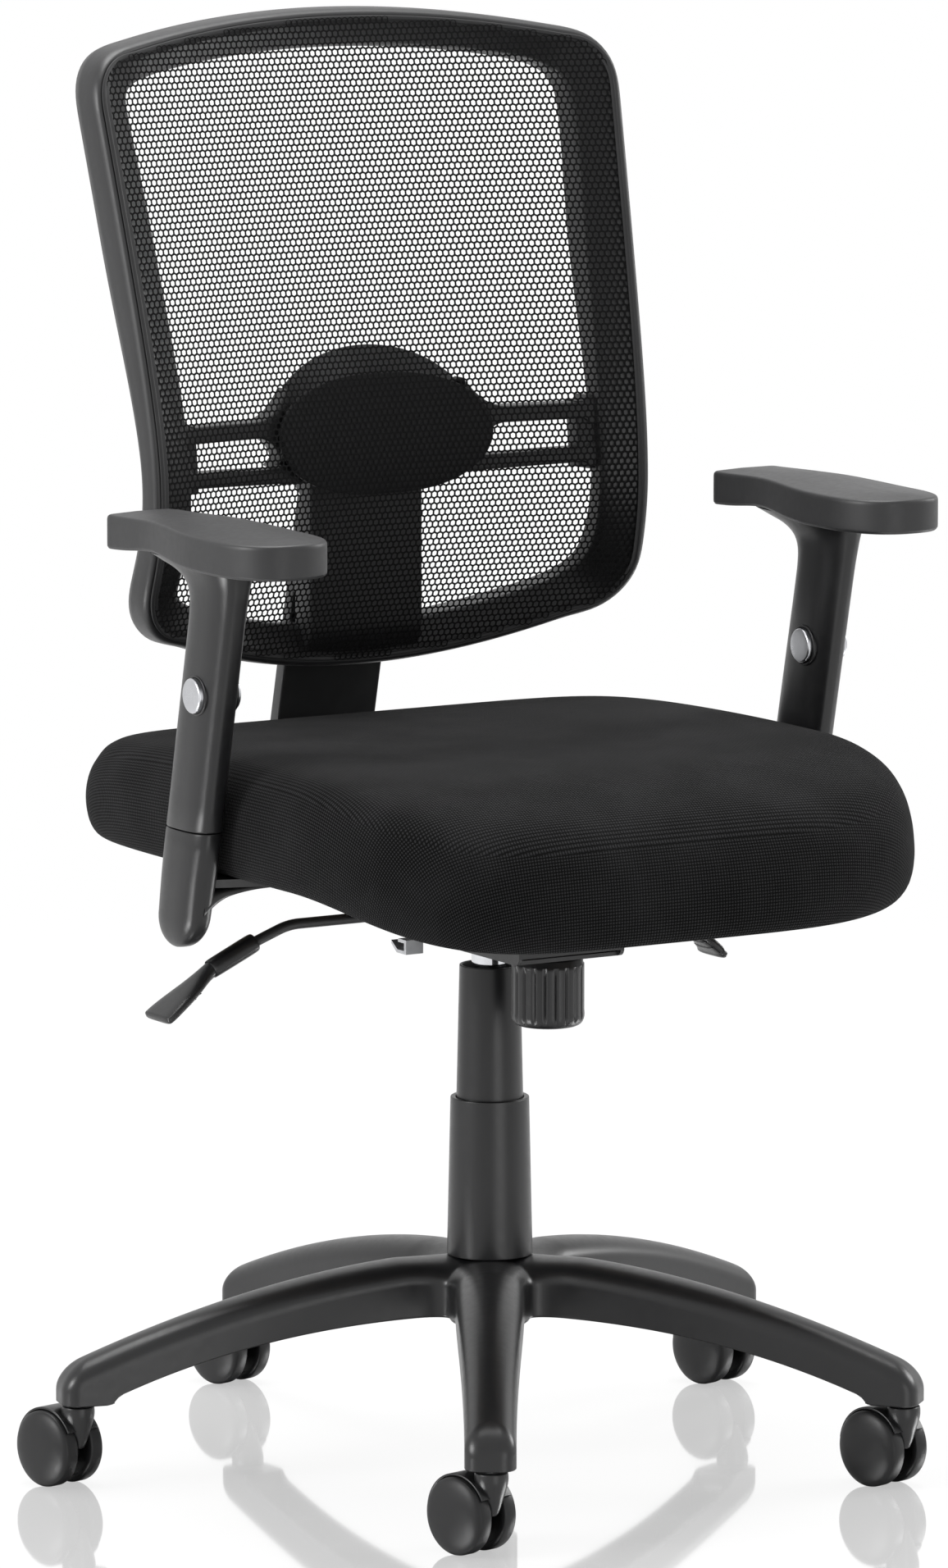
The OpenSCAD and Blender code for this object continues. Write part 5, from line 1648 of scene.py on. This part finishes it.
@dataclass
class BackFrame:
    """Moulded back frame: perimeter rail, hub and spine, side bars, and the block for the bar."""

    shape: BackShape
    rail: float = 34.0
    depth: float = 38.0
    hub_z: float = 770.0
    hub_half: float = 90.0
    hub_h: float = 63.0
    spine_half: float = 50.0
    spine_y: float = 184.5
    hub_depth: float = 8.0
    corner_passes: int = 100
    bar_half: float = 46.5
    web_x: float = 168.0
    bar_top: tuple[float, float] = (201.9, 716.0)
    bar_lean: float = 0.2401
    bar_gap: float = 0.8
    # Shares by which the rail is narrower below, above, and up its sides.
    narrow_low: float = 0.25
    narrow_top: float = 0.17
    narrow_side: float = 0.1
    # Shares by which it is deeper towards its top and shallower at the waist.
    deep_top: float = 0.16
    shallow_waist: float = 0.25

    def rails(self, made: Surface, count: int = 360) -> None:
        """Carries the rail's section round the outline, shallower at the waist.

        The rail's inner edge is the outline moved inwards and then smoothed, which rounds the
        window's corners.

        Args:
            made: Where the shape is added.
            count: Steps round the outline.
        """
        w, d = self.rail, self.depth
        outside = [(-0.5, 0.4), (2.2, 1.0), (4.4, 5), (5, 12), (5, 24), (2, d - 5), (-4, d)]
        inside = [(-w + 6, d + 2), (-w, d - 2), (-w, 16), (-w + 4, 12), (-6, 2.5)]
        section = rounded(outside + inside, 2.4, 4)
        path = self.shape.rim(count)
        out = self.shape.rim_out(path)
        y = self.shape.net_y(path[:, 0], path[:, 1])[:, None]
        height, upward = path[:, 1:], out[:, 1:]
        narrow = 1 + self.narrow_low * np.minimum(0, upward)
        narrow = narrow - self.narrow_top * np.maximum(0, upward)
        narrow = narrow - self.narrow_side * smooth((height - 900) / 150)
        inward = (relaxed(path - out * w * narrow, self.corner_passes) - path) / w
        waist = np.exp(-(((height - self.shape.waist_z) / 70) ** 2))
        deeper = 1 + self.deep_top * smooth((height - 800) / 120) - self.shallow_waist * waist
        across = section[None, :, :1]
        xz = path[:, None] + np.where(across < 0, -across * inward[:, None], across * out[:, None])
        points = stack(xz[..., 0], y + section[:, 1] * deeper, xz[..., 1])
        limit = self.bar_front(points[..., 2]) - self.bar_gap
        under_bar = (np.abs(points[..., 0]) < self.bar_half) & (points[..., 2] < 632)
        points[..., 1] = np.where(under_bar, np.minimum(points[..., 1], limit), points[..., 1])
        made.grid(points, wrap_rows=True)

    def bar_front(self, z: float | Array) -> float | Array:
        """Place in Y of the upright bar's front face: a straight line that leans back."""
        y, top = self.bar_top
        return y + (top - z) * self.bar_lean

    def hub_front(self, z: Array) -> Array:
        """Depth of the hub's front face behind the net; below it, of the flat spine."""
        behind = np.maximum(3, self.spine_y - self.shape.net_y(0, z))
        return mix(behind, self.hub_depth, smooth((z - 734) / 22))

    def hub_rear(self, z: Array) -> Array:
        """Depth of the hub's and the spine's rear face, held clear of the bar.

        Args:
            z: Heights.

        Returns:
            Depth behind the net at each height.
        """
        deep = self.hub_front(z) + mix(24, 18, smooth((z - 740) / 30))
        bar = np.where(z < 722, self.bar_front(z) - 0.6 - self.shape.net_y(0, z), 99.0)
        return np.minimum(deep, bar)

    def hub_outline(self) -> tuple[Array, Array]:
        """Side of the spine and the hub: an eased step between them, and a half ellipse on top.

        Returns:
            Heights and half widths, from below to the crown.
        """
        z = np.concatenate([np.linspace(598, 732, 22), np.linspace(734, self.hub_z, 22)])
        w = mix(self.spine_half, self.hub_half, smooth((z - 735) / 12))
        a = np.radians(np.linspace(3, 90, 30))
        arch_z, arch_w = self.hub_z + self.hub_h * np.sin(a), self.hub_half * np.cos(a)
        return np.concatenate([z, arch_z]), np.concatenate([w, arch_w])

    def slab(
        self,
        z: Array,
        x: tuple[Array, Array],
        depth: tuple[Array, Array],
        corner: float,
        count: int = 25,
    ) -> Array:
        """Closed bar that follows the net's surface between two depths behind it.

        Each row is a loop: along the front from left to right and along the rear back again. A
        corner is a quarter circle, drawn by moving the ends inwards.

        Args:
            z: Height of each row.
            x: Left and right end of each row.
            depth: Front and rear of each row, behind the net.
            corner: Radius of the corners, less where the bar is thin.
            count: Points along the front.

        Returns:
            Grid of points.
        """
        (left, right), (front, rear) = x, depth
        e = np.minimum(corner, 0.45 * np.minimum(rear - front, right - left))[:, None]
        left, right, front, rear = (v[:, None] for v in (left, right, front, rear))
        a = np.radians(np.linspace(0, 90, 5))
        near, far = e * (1 - np.cos(a)), e * (1 - np.sin(a))
        t = np.linspace(0, 1, count)[1:-1]
        along = mix(left + e, right - e, t)
        x_row = np.concatenate([left + near, along, right - near[:, ::-1]], 1)
        d_front = np.concatenate([front + far, front + 0 * t, front + far[:, ::-1]], 1)
        d_rear = np.concatenate([rear - far, rear + 0 * t, rear - far[:, ::-1]], 1)
        xx = np.concatenate([x_row, x_row[:, ::-1]], 1)
        deep = np.concatenate([d_front, d_rear[:, ::-1]], 1)
        zz = np.broadcast_to(z[:, None], xx.shape)
        return stack(xx, self.shape.net_y(xx, zz) + deep, zz)

    def hub(self, made: Surface) -> None:
        """Hub and spine in one, with a small rounding all round the arch.

        Args:
            made: Where the shape is added.
        """
        z, w = self.hub_outline()
        keep = w > 2.5
        z, w = z[keep], w[keep]
        points = self.slab(z, (-w, w), (self.hub_front(z), self.hub_rear(z)), 2.0, 41)
        # The front face leans back towards the arch's edge, where it catches light from above.
        front = points[:, : points.shape[1] // 2]
        rise = front[..., 2] - self.hub_z
        reach = np.hypot(front[..., 0] / self.hub_half, np.maximum(rise, 0) / self.hub_h)
        share = smooth((rise + 6) / 16)
        front[..., 1] += 16.0 * share * np.clip((reach - 0.7) / 0.3, 0, 1.2)
        made.grid(points)

    @staticmethod
    def fillet(x: Array, r: float) -> Array:
        """Height of a quarter-circle fillet of radius r at distance x from its wall."""
        return r - np.sqrt(np.maximum(0, r * r - (r - np.clip(x, 0, r)) ** 2))

    def side_bars(self, made: Surface) -> None:
        """Two bars a side that run from the hub to the rail.

        Fillets widen each bar at the rail and, except for the lowest edge, at the hub, where the
        upper bar's top edge runs on into the arch.

        Args:
            made: Where the shapes are added.
        """
        x1 = self.shape.half_w - self.rail + 4
        flare = 20 * np.clip((112 - np.linspace(78, x1, 90)) / 32, 0, 1.06) ** 2.2
        # Start in X, height at the hub and at the rail, thickness, and lower fillet at the hub.
        bars = ((78.0, 776.0, 776.5, 13.0, 21.0), (46.0, 740.0, 742.5, 12.0, 0.5))
        for x0, z_hub, z_rail, h, low_r in bars:
            x = np.linspace(x0, x1, 90)
            middle = mix(z_hub, z_rail, smooth((x - 70) / (x1 - 70)))
            rail_end = self.fillet(x1 - 8 - x, 5.0)
            up = h / 2 + rail_end + (flare if x0 > 70 else self.fillet(x - 90, 3.0))
            down = h / 2 + rail_end + self.fillet(x - 89, low_r)
            t = circle_steps(32) + np.pi / 32
            s = np.sin(t)
            half = np.where(s > 0, up[:, None], down[:, None])
            z = middle[:, None] + half * signed_power(s, 0.3)
            depth = 21 + 10 * signed_power(np.cos(t), 0.3)
            xx = np.broadcast_to(x[:, None], z.shape)
            for side in (1.0, -1.0):
                made.grid(stack(side * xx, self.shape.net_y(xx, z) + depth, z))

    def webs(self, made: Surface) -> None:
        """The upright web that ties each pair of bars to the rail.

        Args:
            made: Where the shapes are added.
        """
        z = np.linspace(733, 784, 12)
        for side in (1.0, -1.0):
            near, far = np.full(12, self.web_x), np.full(12, self.shape.half_w - self.rail + 5)
            ends = (near, far) if side > 0 else (-far, -near)
            made.grid(self.slab(z, ends, (np.full(12, 12.5), np.full(12, 29.5)), 1.5, 7))

    def bolt_block(self, made: Surface) -> None:
        """Block on the spine's rear that the bar is bolted against.

        Args:
            made: Where the shape is added.
        """
        z = np.array([640.0, 641.0, 646.0, 680.0, 711.0, 713.0])
        rear = np.concatenate([[205.0, 212.0], self.bar_front(z[2:])])
        w = self.spine_half - 4
        x = np.array([-w, w, w, -w])
        y = np.stack([np.full(6, 194.5), np.full(6, 194.5), rear, rear], 1)
        made.grid(stack(x, y, z[:, None]))

    def build(self) -> None:
        """The whole frame as one moulded piece."""
        made = Surface()
        self.rails(made)
        self.hub(made)
        self.side_bars(made)
        self.webs(made)
        self.bolt_block(made)
        fit(made.object("back_frame_moulded", FRAME_NYLON, 45), "back", "nylon", "back_frame")
        pad = Surface()
        a = np.radians(np.linspace(8, 172, 40))
        z, w = 768 - 46 * np.cos(a), 94 * np.sin(a) ** 0.8
        edge = 2.2 * (1 - np.sin(a)) ** 2
        pad.grid(self.slab(z, (-w, w), (1.2 + edge, np.full(40, self.hub_depth - 0.3)), 3.0, 31))
        fit(pad.object("lumbar_support_pad", LUMBAR_SKIN, 60), "back", "nylon", "lumbar_pad")


@dataclass
class BackBar:
    """Flat steel bar that carries the back, bent up from under the seat."""

    half_w: float = 44.0
    half_t: float = 6.0
    foot_y: float = 138.0
    bend: tuple[float, float] = (222.0, 461.0)
    bend_r: float = 46.0
    lean_deg: float = 13.5
    top: tuple[float, float] = (208.0, 716.0)

    def build(self) -> None:
        """Sweeps a rounded flat section along foot, bend and upright, square to their line."""
        a = np.radians(np.linspace(-90, self.lean_deg, 24))
        (y, z), r = self.bend, self.bend_r
        arc = stack(y + r * np.cos(a), z + r * np.sin(a))
        line = np.vstack([[[self.foot_y, z - r]], arc, [self.top]])
        d = np.gradient(line, axis=0)
        d[0], d[-1] = [1, 0], line[-1] - line[-2]
        d /= np.linalg.norm(d, axis=1, keepdims=True)
        normal = stack(-d[:, 1], d[:, 0])
        w, t = self.half_w, self.half_t
        section = rounded([(-w, -t), (w, -t), (w, t), (-w, t)], 2.4, 5)
        yz = line[:, None] + section[None, :, 1:] * normal[:, None]
        points = stack(np.broadcast_to(section[:, 0], yz.shape[:2]), yz[..., 0], yz[..., 1])
        made = Surface().grid(points).object("back_upright_bar", STEEL_COAT, 50)
        fit(made, "back", "black_steel", "back_bar")


@dataclass
class Net:
    """Knitted net of staggered six-sided holes, stretched over the back frame."""

    shape: BackShape
    pitch_x: float = 5.0
    pitch_z: float = 4.65
    # A real thread is about 0.7 mm; drawn as wide as the joined loops look.
    strand: float = 1.24
    front: float = -1.15
    thickness: float = 0.6
    edge: float = 3.4
    crown: float = 0.12
    # Share of the cells' area that is yarn.
    yarn_share: float = 0.614

    def cells(self, path: Array) -> Array:
        """Middles of the holes inside the outline, in rows that are shifted by half a pitch.

        Args:
            path: The back's outline.

        Returns:
            Middles in X and Z, one a row.
        """
        rows = np.arange(math.ceil(520 / self.pitch_z))
        cols = np.arange(-46, 47)
        z = self.shape.low_z - 10 + rows[:, None] * self.pitch_z
        x = (cols[None, :] + 0.5 * (rows[:, None] % 2)) * self.pitch_x
        at = stack(x, z).reshape(-1, 2)
        inner = path - self.shape.rim_out(path) * self.edge
        nxt = np.roll(inner, -1, 0)
        # Even-odd rule: count the outline's edges that cross a ray towards +X.
        px, pz = at[:, :1], at[:, 1:]
        cross = (inner[:, 1] > pz) != (nxt[:, 1] > pz)
        rise = np.where(nxt[:, 1] == inner[:, 1], 1.0, nxt[:, 1] - inner[:, 1])
        edge_x = inner[:, 0] + (pz - inner[:, 1]) / rise * (nxt[:, 0] - inner[:, 0])
        return at[np.sum(cross & (px < edge_x), axis=1) % 2 == 1]

    def piece(self, cells: Array) -> Surface:
        """Net of some cells: each hole's rim joined to its cell's edge, front and back, with walls.

        A cell is the six-sided area nearest to its middle, so its top corner stands
        pitch_z / 2 + pitch_x^2 / (8 pitch_z) above it, and its hole is the same shape drawn in.

        Args:
            cells: Middles of the cells, one a row.

        Returns:
            The net, closed all round.
        """
        rise = self.pitch_x**2 / (8 * self.pitch_z)
        h, w, tip = self.pitch_z / 2 - rise, self.pitch_x / 2, self.pitch_z / 2 + rise
        corner = np.array([[w, -h], [w, h], [0, tip], [-w, h], [-w, -h], [0, -tip]])
        hole = corner * (1 - self.strand / self.pitch_x)
        hole[[2, 5]] *= 0.96
        outer = (cells[:, None] + corner).reshape(-1, 2)
        unique, index = np.unique(np.round(outer, 3), axis=0, return_inverse=True)
        index = index.reshape(-1, 6)
        holes = (cells[:, None] + hole).reshape(-1, 2)
        n, m = len(unique), len(holes)
        flat = np.vstack([unique, holes])
        fall = np.concatenate([np.zeros(n), np.full(m, self.crown)])
        y = self.shape.net_y(flat[:, 0], flat[:, 1]) + self.front
        front = stack(flat[:, 0], y + fall, flat[:, 1])
        rear = stack(flat[:, 0], y + self.thickness, flat[:, 1])
        c, k = index, np.arange(m).reshape(-1, 6) + n
        c2, k2 = np.roll(c, -1, 1), np.roll(k, -1, 1)
        deep = n + m
        faces = [
            np.stack([c, c2, k2, k], -1).reshape(-1, 4),
            np.stack([c2, c, k, k2], -1).reshape(-1, 4) + deep,
            np.stack([k, k2, k2 + deep, k + deep], -1).reshape(-1, 4),
        ]
        pairs = np.stack([c, c2], -1).reshape(-1, 2)
        ordered = np.sort(pairs, axis=1)
        _, first, count = np.unique(ordered, axis=0, return_index=True, return_counts=True)
        rim = pairs[first[count == 1]]
        faces.append(np.stack([rim[:, 1], rim[:, 0], rim[:, 0] + deep, rim[:, 1] + deep], -1))
        return Surface().add(np.vstack([front, rear]), faces)

    def binding(self, path: Array) -> Surface:
        """Bead and tape along the rim that hold the net's cut edge.

        Args:
            path: The back's outline.

        Returns:
            Their section carried round the outline.
        """
        front = [(-7, -0.5), (-3.8, -0.5), (-3.4, -1.5), (-1.0, -1.5), (-0.3, -0.6)]
        section = rounded([*front, (-0.6, 0.3), (-3.0, 1.1), (-7, -0.1)], 0.5, 3)
        y = self.shape.net_y(path[:, 0], path[:, 1])[:, None] + section[:, 1]
        xz = path[:, None] + self.shape.rim_out(path)[:, None] * section[None, :, :1]
        return Surface().grid(stack(xz[..., 0], y, xz[..., 1]), wrap_rows=True)

    def build(self) -> None:
        """Upper and lower half of the net, and its binding."""
        path = self.shape.rim(720)
        cells = self.cells(path)
        bead = fit(self.binding(path).object("back_net_binding", BINDING, 60), "back", "net")
        middle = (self.shape.low_z + self.shape.top_z) / 2
        upper = cells[:, 1] > middle
        for word, part in (("upper", cells[upper]), ("lower", cells[~upper])):
            nodes, hem = (("back_net",), [bead]) if word == "upper" else ((), [])
            sheet = self.piece(part).object(f"back_net_{word}", NET_YARN, 50)
            made = fit(sheet, "back", "net", *nodes)
            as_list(hem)


# ------------------------------------------------------------------ studio and dressing


@dataclass
class Studio:
    """White studio: even surround, four soft lamps, and a white floor with a faint mirror."""

    eye: tuple[float, float, float] = (-3.65646, -6.06220, 1.59104)
    aim: tuple[float, float, float] = (-0.01023, 0.00615, 0.51809)
    lens: float = 218.63
    lamp_aim: tuple[float, float, float] = (0.0, 0.0, 0.6)
    surround: float = 0.5
    floor_half: float = 60.0
    floor_z: float = -0.0004
    mirror_share: float = 0.8
    mirror_blur: float = 0.05
    # Distances from the axis, in metres, between which the floor fades to plain white.
    fade: tuple[float, float] = (0.9, 2.6)
    # Place, size, power in watts.
    lamps: tuple[tuple[tuple[float, float, float], float, float], ...] = (
        ((-4.2, 0.4, 2.2), 1.6, 150.0),
        ((3.8, -0.6, 2.2), 1.6, 90.0),
        ((-0.2, -5.6, 0.9), 2.6, 40.0),
        ((0.2, 0.6, 4.2), 2.4, 170.0),
    )

    @staticmethod
    def facing(place: tuple[float, float, float], aim: tuple[float, float, float]) -> Euler:
        """Turn of a camera or lamp at place that looks at aim with +Z upwards."""
        return (Vector(aim) - Vector(place)).to_track_quat("-Z", "Y").to_euler()

    def camera(self) -> None:
        """Camera at the viewing angle, aimed at the middle of the chair."""
        data = bpy.data.cameras.new("camera")
        data.lens, data.clip_start, data.clip_end = self.lens, 0.1, 300.0
        made = bpy.data.objects.new("camera", data)
        made.location = self.eye
        made.rotation_euler = self.facing(self.eye, self.aim)
        bpy.context.scene.collection.objects.link(made)
        bpy.context.scene.camera = made

    def world(self) -> None:
        """Even white surround that seen and mirrored rays find fully white."""
        world = bpy.data.worlds.new("studio")
        world.use_nodes = True
        tree = world.node_tree
        tree.nodes.clear()
        path = add_node(tree, "ShaderNodeLightPath")
        seen = path.outputs["Is Camera Ray"]
        for key in ("Is Glossy Ray", "Is Transmission Ray"):
            either = {0: seen, 1: path.outputs[key]}
            seen = add_node(tree, "ShaderNodeMath", either, operation="MAXIMUM").outputs[0]
        reach = {"Value": seen, "To Min": self.surround, "To Max": 1.0}
        level = add_node(tree, "ShaderNodeMapRange", reach)
        white = {"Color": (1, 1, 1, 1), "Strength": level.outputs[0]}
        sky = add_node(tree, "ShaderNodeBackground", white)
        add_node(tree, "ShaderNodeOutputWorld", {"Surface": sky.outputs[0]})
        bpy.context.scene.world = world

    def lights(self) -> None:
        """Soft square lamps that all face the chair."""
        for k, (place, size, power) in enumerate(self.lamps):
            data = bpy.data.lights.new(f"lamp_{k + 1}", "AREA")
            data.size, data.energy = size, power
            made = bpy.data.objects.new(data.name, data)
            made.location = place
            made.rotation_euler = self.facing(place, self.lamp_aim)
            bpy.context.scene.collection.objects.link(made)

    def floor(self) -> None:
        """White cast acrylic floor: the eye gets a faint mirror that fades to plain white.

        To the camera, the share of plain white rises with the distance from the chair.
        """
        mesh = bpy.data.meshes.new("floor")
        f, z = self.floor_half, self.floor_z
        mesh.from_pydata([(-f, -f, z), (f, -f, z), (f, f, z), (-f, f, z)], [], [(0, 1, 2, 3)])
        surface = bpy.data.materials.new("floor_white_acrylic_cast")
        surface.use_nodes = True
        tree = surface.node_tree
        tree.nodes.clear()
        matt = add_node(tree, "ShaderNodeBsdfDiffuse", {"Color": (0.9, 0.9, 0.9, 1)})
        polish = {"Color": (1, 1, 1, 1), "Roughness": self.mirror_blur}
        mirror = add_node(tree, "ShaderNodeBsdfGlossy", polish)
        sheen = {0: self.mirror_share, 1: matt.outputs[0], 2: mirror.outputs[0]}
        both = add_node(tree, "ShaderNodeMixShader", sheen)
        white = add_node(tree, "ShaderNodeEmission", {"Color": (1, 1, 1, 1), "Strength": 1.0})
        path = add_node(tree, "ShaderNodeLightPath")
        place = add_node(tree, "ShaderNodeTexCoord")
        spot = {0: place.outputs["Object"]}
        far = add_node(tree, "ShaderNodeVectorMath", spot, operation="LENGTH")
        near, plain = self.fade
        rise = {"Value": far.outputs["Value"], "From Min": near, "From Max": plain}
        level = add_node(tree, "ShaderNodeMapRange", rise | {"To Min": 0.5, "To Max": 1.0})
        factors = {0: path.outputs["Is Camera Ray"], 1: level.outputs[0]}
        share = add_node(tree, "ShaderNodeMath", factors, operation="MULTIPLY")
        faces = {0: share.outputs[0], 1: both.outputs[0], 2: white.outputs[0]}
        seen = add_node(tree, "ShaderNodeMixShader", faces)
        add_node(tree, "ShaderNodeOutputMaterial", {"Surface": seen.outputs[0]})
        mesh.materials.append(surface)
        made = bpy.data.objects.new("floor", mesh)
        bpy.context.scene.collection.objects.link(made)
        made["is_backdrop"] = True

    def build(self) -> None:
        """Camera, surround, lamps and floor."""
        bpy.context.scene.view_settings.view_transform = "Standard"
        self.camera()
        self.world()
        self.lights()
        self.floor()


@dataclass
class FramePieces:
    """Frame nodes whose shapes are right as they are, and the finish that each one gets."""

    coated: tuple[str, ...] = (
        "stand_tube",
        "tilt_housing",
        "seat_plate",
        "back_bracket",
        "left_arm_post",
        "right_arm_post",
    )
    plated: tuple[str, ...] = ("piston_rod", "gas_cylinder")
    zinc: tuple[str, ...] = (
        "thrust_bearing",
        "tilt_shafts",
        "stop_bracket",
        "valve_pin",
        "tension_nut",
        "tension_spring",
        "link_pin",
        "seat_bolts",
        "back_bolts",
    )
    casters: int = 5

    def build(self) -> None:
        """Puts each finish into its nodes' material slots."""
        pins = tuple(f"caster_pins_{k + 1}" for k in range(self.casters))
        plan = {STEEL_COAT: self.coated, CHROME: self.plated, ACETAL: ("guide_sleeve",)}
        plan |= {WOOD: ("seat_board",), ZINC: self.zinc + pins}
        for finish, names in plan.items():
            for name in names:
                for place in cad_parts[name].material_slots:
                    place.material = finish.material()
                LOG.info("%s: wears %s", name, finish.name)


def main() -> None:
    """Builds the chair from the floor up, then the studio, and measures the two boxes."""
    logging.basicConfig(level=logging.INFO, format="%(name)s: %(message)s")
    base, shape = StarBase(), BackShape()
    arms = [Arm(-1.0, "left"), Arm(1.0, "right")]
    back = [BackFrame(shape), BackBar(), Net(shape)]
    sub_assemblies = [base, Casters(base), Column(), TensionKnob(), Seat(), *arms, *back, Levers()]
    for part in [*sub_assemblies, FramePieces(), Studio()]:
        LOG.info("building %s", type(part).__name__)
        part.build()
    boxes = {"cad": CAD_BOX, "visual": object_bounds()}
    {key: [list(corner) for corner in box] for key, box in boxes.items()}


if __name__ == "__main__":
    main()
